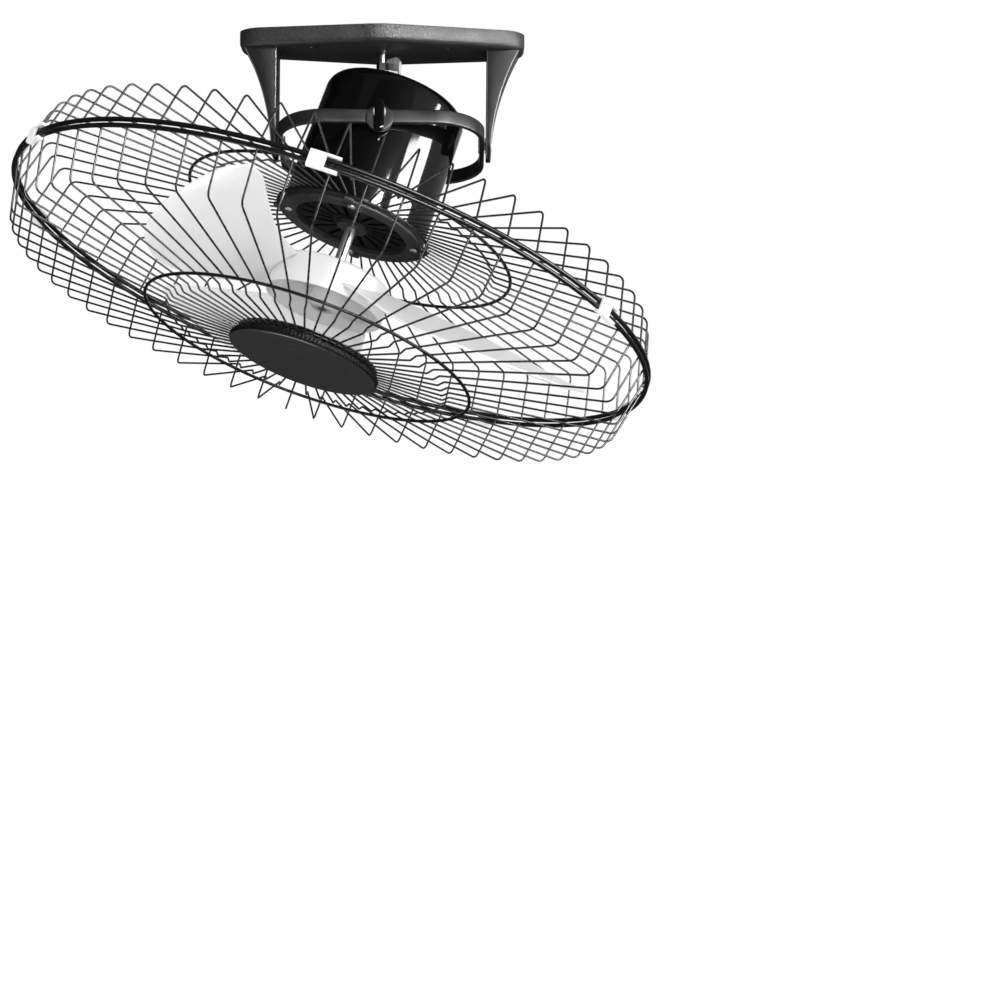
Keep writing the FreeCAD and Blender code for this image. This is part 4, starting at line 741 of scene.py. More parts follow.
def strip_at(place):
    """The strip at a place from 0, the first, to 1, the last, smooth between the given ones."""
    spot = place * (len(BLADE_STRIPS) - 1)
    index = min(int(spot), len(BLADE_STRIPS) - 2)
    t = spot - index
    rows = [BLADE_STRIPS[max(0, min(len(BLADE_STRIPS) - 1, index + k))] for k in (-1, 0, 1, 2)]
    strip = []
    for a, b, c, d in zip(*rows):
        strip.append(0.5 * (2 * b + (c - a) * t + (2 * a - 5 * b + 4 * c - d) * t ** 2
                            + (3 * b - a - 3 * c + d) * t ** 3))
    return strip


def blade_point(place, along):
    """A point on the blade's middle skin; along runs from the trailing to the leading edge."""
    share_out, lead, trail, lead_depth, trail_depth = strip_at(place)
    radius = BLADE_TIP * share_out
    sag = BLADE_CAMBER * radius * math.radians(lead - trail)
    angle = math.radians(trail + (lead - trail) * along)
    depth = BLADE_DEPTH * (trail_depth + (lead_depth - trail_depth) * along) + 4 * sag * along * (1 - along)
    return Vector((radius * math.cos(angle), radius * math.sin(angle), BLADE_HIGH - depth))


# %% [markdown]
# The points make a grid, which is finer near the edges. It is doubled into an upper and a lower skin whose
# thickness runs out to nothing at the rim, so the edge comes out rounded, as on a moulding. A Solidify
# modifier would give the same thickness everywhere, and a square edge.

# %% Skin of a blade
BLADE_HALF = 1.2
ACROSS_STEPS, OUTWARD_STEPS = 22, 44
EDGE_SHARES = [0.0, 0.002, 0.006, 0.014, 0.028]
MIDDLE_START, MIDDLE_SPAN = 0.05, 0.9
TIP_SHARES = [0.985, 0.992, 0.997, 1.0]
across = EDGE_SHARES + [MIDDLE_START + MIDDLE_SPAN * k / ACROSS_STEPS for k in range(ACROSS_STEPS + 1)]
across += [1 - share for share in reversed(EDGE_SHARES)]
outward = [k / OUTWARD_STEPS for k in range(OUTWARD_STEPS)] + TIP_SHARES


def edge_round(distance):
    """Half thickness at a distance from the blade's edge, as on a full round."""
    if distance >= BLADE_HALF:
        return BLADE_HALF
    return math.sqrt(max(0.0, 1 - (1 - distance / BLADE_HALF) ** 2)) * BLADE_HALF


def add_blade(shape, heading):
    """Adds one blade, with its skins, at a heading."""
    turn = Matrix.Rotation(math.radians(heading), 3, "Z")
    grid = [[blade_point(v, u) for u in across] for v in outward]
    skins = []
    for side in (1, -1):
        skin = []
        for i, row in enumerate(grid):
            line = []
            for j, point in enumerate(row):
                du = grid[i][min(j + 1, len(row) - 1)] - grid[i][max(j - 1, 0)]
                dv = grid[min(i + 1, len(grid) - 1)][j] - grid[max(i - 1, 0)][j]
                normal = dv.cross(du).normalized()
                reach = min((point - edge).length for edge in (row[0], row[-1], grid[-1][j]))
                line.append(shape.verts.new(turn @ (point + normal * edge_round(reach) * side)))
            skin.append(line)
        skins.append(skin)
    for skin in skins:
        for low, high in zip(skin, skin[1:]):
            for j in range(len(low) - 1):
                shape.faces.new((low[j], low[j + 1], high[j + 1], high[j]))


print("points in one skin:", len(across) * len(outward))

# %% [markdown]
# The hub is a shallow cup, open towards the front, with a boss in the middle for the shaft. A little
# root fillet would hide in the blade's own thickness, so hub and blades simply run into each other.

# %% Hub and blades
BLADE_COUNT = 3
BLADE_HEADING = 256.0
HUB_BORE = 5.02
HUB_TOP, HUB_FLOOR, HUB_BOSS, HUB_LIP = -134, -137, -152, -165
fan_shape = bmesh.new()
for k in range(BLADE_COUNT):
    add_blade(fan_shape, BLADE_HEADING + 360 * k / BLADE_COUNT)
turned(fan_shape, [(HUB_BORE, HUB_BOSS, 0.3), (12, HUB_BOSS, 1.0), (14, HUB_FLOOR, 2.0), (52, HUB_FLOOR, 3.0),
                   (52.4, HUB_LIP, 0.8), (55, HUB_LIP, 0.8), (54.6, HUB_TOP, 4.0), (HUB_BORE, HUB_TOP, 0.4)],
       sides=128)
mesh_piece("fan_moulding", fan_shape, HEAD, "fan_rotor", "fan_blades", crease=40)

# %% [markdown]
# ## The motor
# The case is a spun cup with a soft shoulder and a flat crown, which a lathe outline gives directly. The
# more sides the spin has, the cleaner the long reflection down its flank.

# %% Motor case
CASE_RADIUS, CASE_FOOT, CASE_WALL = 67.5, -80, 2.5
CROWN_HOLE = 9
SHOULDER_RADIUS, SHOULDER_HEIGHT, SHOULDER_ROUND = 66.2, 44, 14.0
CROWN_EDGE, CROWN_EDGE_HEIGHT, CROWN_HEIGHT = 46, 52, 56
case_shape = bmesh.new()
turned(case_shape, [(CASE_RADIUS - CASE_WALL, CASE_FOOT, 0), (CASE_RADIUS, CASE_FOOT, 0.6),
                    (SHOULDER_RADIUS, SHOULDER_HEIGHT, SHOULDER_ROUND), (CROWN_EDGE, CROWN_EDGE_HEIGHT, 8.0),
                    (CROWN_HOLE, CROWN_HEIGHT, 1.0), (CROWN_HOLE, CROWN_HEIGHT - CASE_WALL, 0),
                    (CROWN_EDGE, CROWN_EDGE_HEIGHT - CASE_WALL, 6.0),
                    (SHOULDER_RADIUS - CASE_WALL, SHOULDER_HEIGHT - CASE_WALL, SHOULDER_ROUND - CASE_WALL)],
       sides=192, steps=10)
mesh_piece("motor_case_polished", case_shape, HEAD, "motor_unit", "motor_housing")

# %% [markdown]
# The end shield is a casting: a flat flange that takes the four screws, a sunk middle with slots for the
# cooling air, and a collar round the shaft. The slots are left open by building the sunk middle from
# wedges that stand between them. The sunk part takes the blacker finish, which is painted shade.

# %% Flange and collar of the shield
SHIELD_FACE, SHIELD_SUNK, SHIELD_BACK = -87, -82.4, CASE_FOOT
VENT_INNER, VENT_OUTER = 19.4, 48.5
SHAFT_HOLE, COLLAR_RADIUS = 5.3, 14
BEARING_SEAT, SEAT_FLOOR, SEAT_TOP = 11, -82, -74
SUNK_RADIUS = 52.2
SHIELD_SHADE_FINISH = 1
shield_shape = bmesh.new()
turned(shield_shape, [(VENT_OUTER, SHIELD_BACK, 0.3), (VENT_OUTER, SHIELD_SUNK, 0.3),
                      (52.0, SHIELD_SUNK, 1.0), (52.8, SHIELD_FACE, 0.8),
                      (CASE_RADIUS, SHIELD_FACE, 1.6), (CASE_RADIUS, SHIELD_BACK, 0.4)], sides=144)
turned(shield_shape, [(SHAFT_HOLE, SEAT_FLOOR, 0.2), (SHAFT_HOLE, SHIELD_FACE, 0.5),
                      (COLLAR_RADIUS, SHIELD_FACE, 1.2), (COLLAR_RADIUS + 0.6, SHIELD_SUNK, 0.8),
                      (VENT_INNER, SHIELD_SUNK, 0.3), (VENT_INNER, SHIELD_BACK, 0.3),
                      (COLLAR_RADIUS, SHIELD_BACK, 0), (COLLAR_RADIUS, SEAT_TOP, 0.4),
                      (BEARING_SEAT, SEAT_TOP, 0.3), (BEARING_SEAT, SEAT_FLOOR, 0)], sides=96)
# Faces of the sunk middle take the painted shade.
for face in shield_shape.faces:
    spot = face.calc_center_median()
    if math.hypot(spot.x, spot.y) < SUNK_RADIUS and spot.z > SHIELD_SUNK - 0.6:
        face.material_index = SHIELD_SHADE_FINISH
print("faces of the flange and the collar:", len(shield_shape.faces))

# %% Vents and lugs of the shield
VENTS = 18
VENT_HALF = 1.9
WEDGE_INNER, WEDGE_OUTER = VENT_INNER - 0.2, VENT_OUTER + 0.4
LUG_PLAN = [(60, -5), (72.5, -5), (74.5, -3), (74.5, 3), (72.5, 5), (60, 5)]
LUG_BACK = -84.5
LUGS = 4


def wedge_between_vents(angle, gap):
    """The plan of the metal between one vent and the next."""
    corners = []
    for radius, side in ((WEDGE_INNER, 1), (WEDGE_OUTER, 1), (WEDGE_OUTER, -1), (WEDGE_INNER, -1)):
        offset = math.asin(VENT_HALF / radius)
        heading = angle + gap / 2 - side * (gap / 2 - offset)
        corners.append((radius * math.cos(heading), radius * math.sin(heading)))
    return corners


vent_gap = 2 * math.pi / VENTS
flange_faces = len(shield_shape.faces)
for k in range(VENTS):
    slab(shield_shape, wedge_between_vents(k * vent_gap, vent_gap), SHIELD_SUNK, SHIELD_BACK)
# The wedges between the vents take the painted shade too.
paint_from(shield_shape, flange_faces, SHIELD_SHADE_FINISH)
for k in range(LUGS):
    along = Matrix.Rotation(math.radians(360 * k / LUGS), 2)
    slab(shield_shape, [along @ Vector(p) for p in LUG_PLAN], SHIELD_FACE, LUG_BACK)
mesh_piece("end_shield_cast", shield_shape, HEAD, "motor_unit", "motor_shield", extra_finish=[painted_shade_black])

# %% [markdown]
# Four pan-head screws hold the shield. The cross in a head could be cut out with a boolean, but at this
# size two dark strips of painted shade laid into the dome look the same and keep the mesh clean.

# %% Screws of the shield
SHANK = 2
CROSS_HALF_WIDTH, CROSS_PROUD = 0.35, 0.06
CROSS_TURNS = (20, 110)
CROSS_SHADE_FINISH = 1
SHIELD_SCREWS, SCREW_CIRCLE, SCREW_START = 4, 60, 3


def pan_head_screw(radius, height, length):
    """A screw that points up from a domed head, its cross laid in as dark strips of painted shade."""
    screw = bmesh.new()
    turned(screw, [(AXIS, -height, 0), (radius * 0.55, -height, 0), (radius * 0.9, -height * 0.62, 0.6),
                   (radius, 0, 0.3), (SHANK, 0, 0), (SHANK, length, 0.4), (AXIS, length, 0)], sides=28)
    for turn in CROSS_TURNS:
        spin = Matrix.Rotation(math.radians(turn), 2)
        plan = [spin @ Vector(p) for p in bar_plan(0, radius * 0.5, CROSS_HALF_WIDTH)]
        first = len(screw.faces)
        slab(screw, plan, -height - CROSS_PROUD, -height * 0.5)
        # The strips take the dark finish: painted shade for the recess of the cross.
        paint_from(screw, first, CROSS_SHADE_FINISH)
    return screw


screw_shape = bmesh.new()
for k in range(SHIELD_SCREWS):
    angle = math.radians(SCREW_START + 360 * k / SHIELD_SCREWS)
    spot = Vector((SCREW_CIRCLE * math.cos(angle), SCREW_CIRCLE * math.sin(angle), SHIELD_FACE))
    add_shape(screw_shape, pan_head_screw(radius=3.8, height=2.0, length=19.0), Matrix.Translation(spot))
mesh_piece("shield_screws_pan", screw_shape, HEAD, "motor_unit", "shield_screws", extra_finish=[nut_black])

# %% [markdown]
# The shaft is a ground steel bar with a thinner neck at its upper end. One lathe outline gives the bar,
# the neck and the small rounding at each end.

# %% Shaft
SHAFT_RADIUS, NECK_RADIUS = 5, 2
SHAFT_LOW, NECK_LOW, NECK_TOP = -168, 11, 17
shaft_shape = bmesh.new()
turned(shaft_shape, [(AXIS, SHAFT_LOW, 0), (SHAFT_RADIUS, SHAFT_LOW, 0.8), (SHAFT_RADIUS, NECK_LOW, 0.4),
                     (NECK_RADIUS, NECK_LOW, 0.1), (NECK_RADIUS, NECK_TOP, 0.3), (AXIS, NECK_TOP, 0)],
       sides=64)
mesh_piece("motor_shaft_ground", shaft_shape, HEAD, "fan_rotor", "motor_shaft")

# %% [markdown]
# ## The front cap
# The cap is a shallow lid over the middle of the front guard. Its face is left plain and polished, and its
# side is finely ribbed for grip: every second pair of points round the side is drawn in a little. A thin
# dark washer behind the lid closes the view between the wires.

# %% Front cap
RIBS = 120
RIB_SIDES = 4 * RIBS
RIB_DEPTH = 0.55
CAP_FACE, CAP_INSIDE, CAP_BACK = -222, -219.5, -216
CAP_RADIUS, CAP_BORE = 70, 67.5
RIBBED_FROM, SHADED_FROM = 69.3, 68.4
CAP_SIDE_SHADE_FINISH = 1
WASHER_BORE, WASHER_RADIUS, WASHER_LOW, WASHER_TOP = 48, 66.5, -209.8, -208.6
cap_shape = bmesh.new()
turned(cap_shape, [(AXIS, CAP_FACE, 0), (66.8, CAP_FACE, 0.6), (67.6, -221.6, 0.4), (69.2, -221.2, 0.7),
                   (CAP_RADIUS, CAP_INSIDE, 0.5), (CAP_RADIUS, CAP_BACK, 0.5), (CAP_BORE, CAP_BACK, 0),
                   (CAP_BORE, CAP_INSIDE, 0), (AXIS, CAP_INSIDE, 0)], sides=RIB_SIDES, steps=4)
for vert in cap_shape.verts:
    radius = math.hypot(vert.co.x, vert.co.y)
    step = round(math.atan2(vert.co.y, vert.co.x) / (2 * math.pi) * RIB_SIDES) % 4
    if radius > RIBBED_FROM and step in (1, 2):
        vert.co.x *= (radius - RIB_DEPTH) / radius
        vert.co.y *= (radius - RIB_DEPTH) / radius
# The ribbed side takes the blacker finish: painted shade.
for face in cap_shape.faces:
    if min(math.hypot(v.co.x, v.co.y) for v in face.verts) > SHADED_FROM:
        face.material_index = CAP_SIDE_SHADE_FINISH
turned(cap_shape, [(WASHER_BORE, WASHER_LOW, 0.2), (WASHER_RADIUS, WASHER_LOW, 0.3),
                   (WASHER_RADIUS, WASHER_TOP, 0.3), (WASHER_BORE, WASHER_TOP, 0.2)],
       sides=RIB_SIDES, steps=2)
mesh_piece("front_cap_ribbed", cap_shape, HEAD, "motor_unit", "front_cap", extra_finish=[painted_shade_black])

# %% [markdown]
# ## The clips
# Six white clips pinch the two rims together. Each wraps round the rims from outside, and forks at one
# end into an upper and a lower prong. The section is drawn once and carried round the rim, which keeps
# the clip's curve true to the rim's.

# %% Clips
CLIP_INNER, CLIP_OUTER, CLIP_WEB, PRONG_OUTER = 298, 304.4, 302.2, 304.0
CLIP_HALF, MOUTH_HALF = 7.3, 5.1
CLIP_HALF_LENGTH, GUARD_RADIUS = 13.0, 300.0
WEB_END, PRONG_START = 0.1, 0.05
WEB_STEPS, PRONG_STEPS = 8, 5
CLIP_HEADINGS = (19.0, 61.5, 166.0, 211.5, 271.7, 327.0)


def carried_round(shape, section, start, stop, steps):
    """Carries a closed section of (radius, height) round the axis and closes both ends."""
    rings = []
    for k in range(steps + 1):
        angle = start + (stop - start) * k / steps
        way = (math.cos(angle), math.sin(angle))
        rings.append([shape.verts.new((p.x * way[0], p.x * way[1], p.y - RIM_DROP)) for p in section])
    stack(shape, rings)


clip_section = round_corners([
    (CLIP_INNER, -CLIP_HALF, 0.8), (CLIP_OUTER, -CLIP_HALF, 1.6), (CLIP_OUTER, CLIP_HALF, 1.6),
    (CLIP_INNER, CLIP_HALF, 0.8), (CLIP_INNER, MOUTH_HALF, 0.4), (CLIP_WEB, MOUTH_HALF, 0.6),
    (CLIP_WEB, -MOUTH_HALF, 0.6), (CLIP_INNER, -MOUTH_HALF, 0.4)], steps=3)
upper_prong = round_corners([
    (CLIP_INNER, MOUTH_HALF, 0.5), (PRONG_OUTER, MOUTH_HALF, 0.5), (PRONG_OUTER, CLIP_HALF, 0.9),
    (CLIP_INNER, CLIP_HALF, 0.9)], steps=3)
lower_prong = [Vector((p.x, -p.y)) for p in upper_prong]
clip_reach = CLIP_HALF_LENGTH / GUARD_RADIUS
clip_shape = bmesh.new()
for heading in CLIP_HEADINGS:
    middle = math.radians(heading)
    carried_round(clip_shape, clip_section, middle - clip_reach, middle + clip_reach * WEB_END, WEB_STEPS)
    for prong in (upper_prong, lower_prong):
        carried_round(clip_shape, prong, middle + clip_reach * PRONG_START, middle + clip_reach, PRONG_STEPS)
mesh_piece("guard_clips_forked", clip_shape, HEAD, "motor_unit", "guard_clips")

# %% [markdown]
# ## The gimbal ring
# The ring is a flat bar bent into a rounded rectangle, with a round boss at the front and back for the
# motor's pivots. A rounded section is carried along the path, and the bosses are turned and laid down.
# The bar's top edge dips a little towards the front and the back.

# %% Ring
RING_HALF_X, RING_HALF_Y, RING_CORNER = 91.75, 72.25, 42.75
BAR_HALF, BAR_LOW, BAR_TOP, BAR_ROUND = 2.25, -9.7, 6.7, 1.8
TOP_DIP, DIP_FROM = 2.9, 45.0
PIVOT_DROP = 5
BOSS_BORE, BOSS_RADIUS, BOSS_BACK, BOSS_FACE = 5.8, 12.0, 70, 75.4


def rounded_loop(half_x, half_y, corner, steps=14):
    """Points and outward directions round a rectangle with round corners."""
    loop = []
    for cx, cy, start in ((1, 1, 0), (-1, 1, 90), (-1, -1, 180), (1, -1, 270)):
        for k in range(steps + 1):
            angle = math.radians(start + 90 * k / steps)
            out = Vector((math.cos(angle), math.sin(angle)))
            loop.append((Vector((cx * (half_x - corner), cy * (half_y - corner))) + out * corner, out))
    return loop


def carried_along(shape, loop, section):
    """Carries a section of (outward, up) round a closed loop in the plane."""
    rings = []
    for point, out in loop:
        rings.append([shape.verts.new((point.x + out.x * p.x, point.y + out.y * p.x, p.y)) for p in section])
    for low, high in zip(rings, rings[1:] + rings[:1]):
        band(shape, low, high)


bar_section = round_corners([(-BAR_HALF, BAR_LOW, BAR_ROUND), (BAR_HALF, BAR_LOW, BAR_ROUND),
                             (BAR_HALF, BAR_TOP, BAR_ROUND), (-BAR_HALF, BAR_TOP, BAR_ROUND)])
ring_shape = bmesh.new()
carried_along(ring_shape, rounded_loop(RING_HALF_X, RING_HALF_Y, RING_CORNER), bar_section)
for vert in ring_shape.verts:
    if vert.co.z > 0:
        vert.co.z -= TOP_DIP * min(1.0, abs(vert.co.y) / DIP_FROM)
for turn in (90, -90):
    boss = bmesh.new()
    turned(boss, [(BOSS_BORE, BOSS_BACK, 0.4), (BOSS_RADIUS, BOSS_BACK, 0.4),
                  (BOSS_RADIUS + 0.5, BOSS_FACE, 0.9), (BOSS_BORE, BOSS_FACE, 0.4)], sides=64)
    lay_down = Matrix.Rotation(math.radians(turn), 4, "X")
    add_shape(ring_shape, boss, Matrix.Translation((0, 0, -PIVOT_DROP)) @ lay_down)
mesh_piece("gimbal_ring_satin", ring_shape, RING, "ring", "gimbal_ring")

# %% [markdown]
# An upright cap with round ends covers each pivot, at the front and at the back. It is a stack of copies
# of one outline, drawn in more and more towards the face, which gives a soft dome. It is as glossy as the
# motor's case.

# %% Upright caps over the pivots
PIVOT_CAP_HALF = 4.4
PIVOT_CAP_TOP, PIVOT_CAP_LOW = 11.6, -9.1
PIVOT_CAP_DOME = ((0, 75.2), (0, 79.4), (0.5, 80.2), (1.4, 80.7), (2.6, 80.8))
END_STEPS = 16
pivot_cap_plan = []
for centre_z, start in ((PIVOT_CAP_TOP, 0), (PIVOT_CAP_LOW, 180)):
    for k in range(END_STEPS + 1):
        angle = math.radians(start + 180 * k / END_STEPS)
        pivot_cap_plan.append((PIVOT_CAP_HALF * math.cos(angle), centre_z + PIVOT_CAP_HALF * math.sin(angle)))
pivot_shape = bmesh.new()
for side in (1, -1):
    rows = []
    for inset, depth in PIVOT_CAP_DOME:
        row = []
        for x, z in pivot_cap_plan:
            core = max(PIVOT_CAP_LOW, min(PIVOT_CAP_TOP, z))
            shrunk = Vector((x, z - core)) * (1 - inset / PIVOT_CAP_HALF)
            row.append(pivot_shape.verts.new((shrunk.x, depth * side, core + shrunk.y - PIVOT_DROP)))
        rows.append(row)
    stack(pivot_shape, rows)
mesh_piece("pivot_caps_domed", pivot_shape, RING, "ring", "pivot_caps", crease=50, finish=motor_gloss)

# %% [markdown]
# ## Plate and arms
# An arm is flat inside and hollowed outside by one long curve, and its lower end is round. It is built as
# a stack of rounded rectangles from the plate down to the tip, whose width follows the curve. Booleans on
# a block could cut it too, but a stack lets each side have a finish of its own: a painted highlight on the
# round corners, and painted shade on the inner face.

# %% Outline of an arm
ARM_TOP, ARM_TIP = -16.0, -114.0
ARM_INNER = 95.5
ARM_ROOT_OUTER, ARM_TIP_OUTER = 125.0, 100.1
ARM_CURVE = 210.0
ARM_HALF_DEPTH = 24.0
TIP_ROUND, TIP_PINCH = 13.0, 1.9
ARM_FINER = -94.0
ARM_EDGE_ROUND, EDGE_SHARE = 1.0, 0.3


def arm_outer(z):
    """Where the arm's outer curve is at a height."""
    start, stop = Vector((ARM_ROOT_OUTER, ARM_TOP)), Vector((ARM_TIP_OUTER, ARM_TIP))
    chord = stop - start
    out = Vector((-chord.y, chord.x)).normalized()
    rise = math.sqrt(ARM_CURVE ** 2 - (chord.length / 2) ** 2)
    centre = (start + stop) / 2 + out * rise
    return centre.x - math.sqrt(ARM_CURVE ** 2 - (z - centre.y) ** 2)


def quarter_round(radius, above):
    """How far a quarter round has come out at a distance above its start."""
    return math.sqrt(max(0.0, radius ** 2 - max(0.0, radius - above) ** 2))


def arm_heights():
    """Heights of the stacked loops, closer together towards the tip."""
    heights = [ARM_TOP - (ARM_TOP - ARM_FINER) * k / 20 for k in range(20)]
    heights += [ARM_FINER - 2.0 * k for k in range(6)]
    heights += [ARM_TIP + TIP_ROUND * (1 - math.sin(math.radians(9 * k))) for k in range(5, 11)]
    return heights


print("arm tip is", round(arm_outer(ARM_TIP) - ARM_INNER, 2), "mm thick")

# %% Arms
CORNER_STEPS = 3
PIN_FINISH, HIGHLIGHT_FINISH, INNER_SHADE_FINISH = 1, 2, 3
PIN_BACK = 99.5
PIN_HEAD = [(AXIS, PIN_BACK, 0), (3.9, PIN_BACK, 0), (3.9, 100.9, 0.3), (AXIS, 100.9, 0)]
PIN_COLLAR = [(4.1, PIN_BACK, 0), (5.7, PIN_BACK, 0), (5.7, 100.7, 0.3), (4.1, 100.7, 0.2)]


def arm_face_finish(i):
    """Painted highlight on the round corners, painted shade on the inner flat, and plain on the other flats.
    """
    corner, step = divmod(i, CORNER_STEPS + 1)
    if step < CORNER_STEPS:
        return HIGHLIGHT_FINISH
    return INNER_SHADE_FINISH if corner == 3 else 0


def add_arm(shape, side):
    """Adds one arm on the right, 1, or the left, -1."""
    rows = []
    for z in arm_heights():
        above = z - ARM_TIP
        pinch = TIP_PINCH - quarter_round(TIP_PINCH, above)
        inner, outer = ARM_INNER + pinch, arm_outer(z) - pinch
        half = ARM_HALF_DEPTH - TIP_ROUND + quarter_round(TIP_ROUND, above)
        edge = min(ARM_EDGE_ROUND, (outer - inner) * EDGE_SHARE)
        plan = round_corners([(inner, -half, edge), (outer, -half, edge), (outer, half, edge),
                              (inner, half, edge)], steps=CORNER_STEPS)
        rows.append([shape.verts.new((p.x * side, p.y, z)) for p in plan])
    for low, high in zip(rows, rows[1:]):
        for i, face in enumerate(band(shape, low, high)):
            face.material_index = arm_face_finish(i)
    shape.faces.new(rows[0])
    shape.faces.new(rows[-1])


for name, node, side in (("right_arm_curved", "right_arm", 1), ("left_arm_curved", "left_arm", -1)):
    arm_shape = bmesh.new()
    add_arm(arm_shape, side)
    pivot = bmesh.new()
    for outline in (PIN_HEAD, PIN_COLLAR):
        turned(pivot, outline, sides=40)
    paint_from(pivot, 0, PIN_FINISH)
    lay_down = Matrix.Rotation(math.radians(90 * side), 4, "Y")
    add_shape(arm_shape, pivot, Matrix.Translation((0, 0, -GIMBAL_DROP)) @ lay_down)
    mesh_piece(name, arm_shape, PLATE, "base", node, crease=40,
               extra_finish=[bright_steel, arm_painted_highlight, arm_painted_shade])

# %% [markdown]
# The ceiling plate is a six-sided tray with softly rounded corners. Its skin is made of loops: up the
# outside, over the rim, and down the inside, joined strip by strip. The floor and the underside are filled
# round their screw holes, and a sleeve stands on the floor at each ceiling screw.

# %% Plate outline
PLATE_HALF_LENGTH, PLATE_MID_HALF, PLATE_END_HALF = 130, 60.7, 31
OUTER_CORNER, INNER_CORNER, APEX_ROUND = 26, 23, 60
TRAY_FLOOR, PLATE_UNDER = -13.0, -16.0


def six_sides(half_length, mid_half, end_half, corner):
    """The plate's plan, with its end corners and its two middle corners rounded."""
    corners = [(half_length, -end_half, corner), (half_length, end_half, corner),
               (0, mid_half, APEX_ROUND), (-half_length, end_half, corner),
               (-half_length, -end_half, corner), (0, -mid_half, APEX_ROUND)]
    return round_corners(corners, steps=9)


def outer_plan(inset):
    """The outside of the plate, drawn in by an inset."""
    return six_sides(PLATE_HALF_LENGTH - inset, PLATE_MID_HALF - inset * 1.03, PLATE_END_HALF - inset * 0.8,
                     OUTER_CORNER - inset * 0.8)


def inner_plan(inset):
    """The inside of the tray, drawn in by an inset from the plate's outline."""
    return six_sides(PLATE_HALF_LENGTH - inset, PLATE_MID_HALF - inset * 1.5, PLATE_END_HALF - inset,
                     INNER_CORNER)


print("plate is", 2 * PLATE_HALF_LENGTH, "mm long")

# %% Loops round holes
def circle_plan(x, y, radius, sides=32):
    """A circle about a point."""
    return [Vector((x + radius * math.cos(a), y + radius * math.sin(a))) for a in full_turn(sides)]


def loop_at(shape, plan, z):
    """New points over a plan at one height."""
    return [shape.verts.new((p.x, p.y, z)) for p in plan]


def fill_round_holes(shape, loops):
    """Fills the plane between an outer loop and the loops of its holes."""
    edges = []
    for loop in loops:
        for i in range(len(loop)):
            ends = (loop[i], loop[i - 1])
            edges.append(shape.edges.get(ends) or shape.edges.new(ends))
    bmesh.ops.triangle_fill(shape, use_beauty=True, use_dissolve=False, edges=edges)


# %% Plate
OUTER_EDGE = ((0.8, 0.0), (0.2, -0.25), (0.0, -0.9), (0.0, -11.0), (0.35, -12.6), (1.0, -13.9), (1.9, -14.9),
              (3.0, -15.6), (4.2, PLATE_UNDER))
INNER_EDGE = ((2.4, 0.0), (3.0, -0.4), (3.2, -12.0), (4.2, TRAY_FLOOR))
SLEEVES = [(x, y) for x in (62, -62) for y in (26, -26)]
SLEEVE_RADIUS, SCREW_HOLE, BUSH_HOLE = 6.5, 2.75, 7.02
plate_shape = bmesh.new()
outside = [loop_at(plate_shape, outer_plan(inset), z) for inset, z in OUTER_EDGE]
inside = [loop_at(plate_shape, inner_plan(inset), z) for inset, z in INNER_EDGE]
for loops in (outside, inside):
    for low, high in zip(loops, loops[1:]):
        band(plate_shape, low, high)
band(plate_shape, outside[0], inside[0])
below, above = [outside[-1]], [inside[-1]]
for x, y in SLEEVES:
    foot = loop_at(plate_shape, circle_plan(x, y, SLEEVE_RADIUS), TRAY_FLOOR)
    top = loop_at(plate_shape, circle_plan(x, y, SLEEVE_RADIUS), 0.0)
    mouth = loop_at(plate_shape, circle_plan(x, y, SCREW_HOLE), 0.0)
    exit_hole = loop_at(plate_shape, circle_plan(x, y, SCREW_HOLE), PLATE_UNDER)
    for low, high in ((foot, top), (top, mouth), (mouth, exit_hole)):
        band(plate_shape, low, high)
    above.append(foot)
    below.append(exit_hole)
bush_top = loop_at(plate_shape, circle_plan(0, 0, BUSH_HOLE), TRAY_FLOOR)
bush_low = loop_at(plate_shape, circle_plan(0, 0, BUSH_HOLE), PLATE_UNDER)
band(plate_shape, bush_top, bush_low)
fill_round_holes(plate_shape, below + [bush_low])
fill_round_holes(plate_shape, above + [bush_top])
mesh_piece("ceiling_plate_sandy", plate_shape, PLATE, "base", "base_plate", crease=40)

# %% [markdown]
# ## What lies in the tray
# The tray is open towards the ceiling, so from above its fittings can be seen: the heads of the four
# screws that hold the arms, a three-way terminal block and the motor's capacitor. Each is a moulding
# with a few parts in it, and those parts get finishes of their own.

# %% Screws of the arms
ARM_SCREWS = [(x, y) for x in (107.5, -107.5) for y in (14, -14)]


def heads_up(shape, radius, height, length, spots, z):
    """Adds screws whose heads stand up from a floor at height z."""
    for x, y in spots:
        place = Matrix.Translation((x, y, z)) @ Matrix.Rotation(math.pi, 4, "X")
        add_shape(shape, pan_head_screw(radius, height, length), place)


arm_screw_shape = bmesh.new()
heads_up(arm_screw_shape, radius=4.5, height=3.0, length=21.0, spots=ARM_SCREWS, z=TRAY_FLOOR)
mesh_piece("arm_screws_crossed", arm_screw_shape, PLATE, "base", "arm_screws", extra_finish=[nut_black])

# %% [markdown]
# The block and the capacitor start from a moulded box: rounded rectangles, stacked like the arm's. A bevel
# modifier on a cube would round all edges alike, but here the top edge is softer than the foot.

# %% A moulded box
SMALLEST_CORNER = 0.3


def rounded_plan(x, half_x, half_y, corner):
    """A rectangle with rounded corners, about a point on the X axis."""
    return round_corners([(x + half_x, -half_y, corner), (x + half_x, half_y, corner),
                          (x - half_x, half_y, corner), (x - half_x, -half_y, corner)])


def moulded_box(shape, x, half_x, half_y, corner, levels):
    """Stacks rounded rectangles, each (inset, z), and gives back the face that closes the last."""
    loops = []
    for inset, z in levels:
        plan = rounded_plan(x, half_x - inset, half_y - inset, max(corner - inset, SMALLEST_CORNER))
        loops.append(loop_at(shape, plan, z))
    return stack(shape, loops)
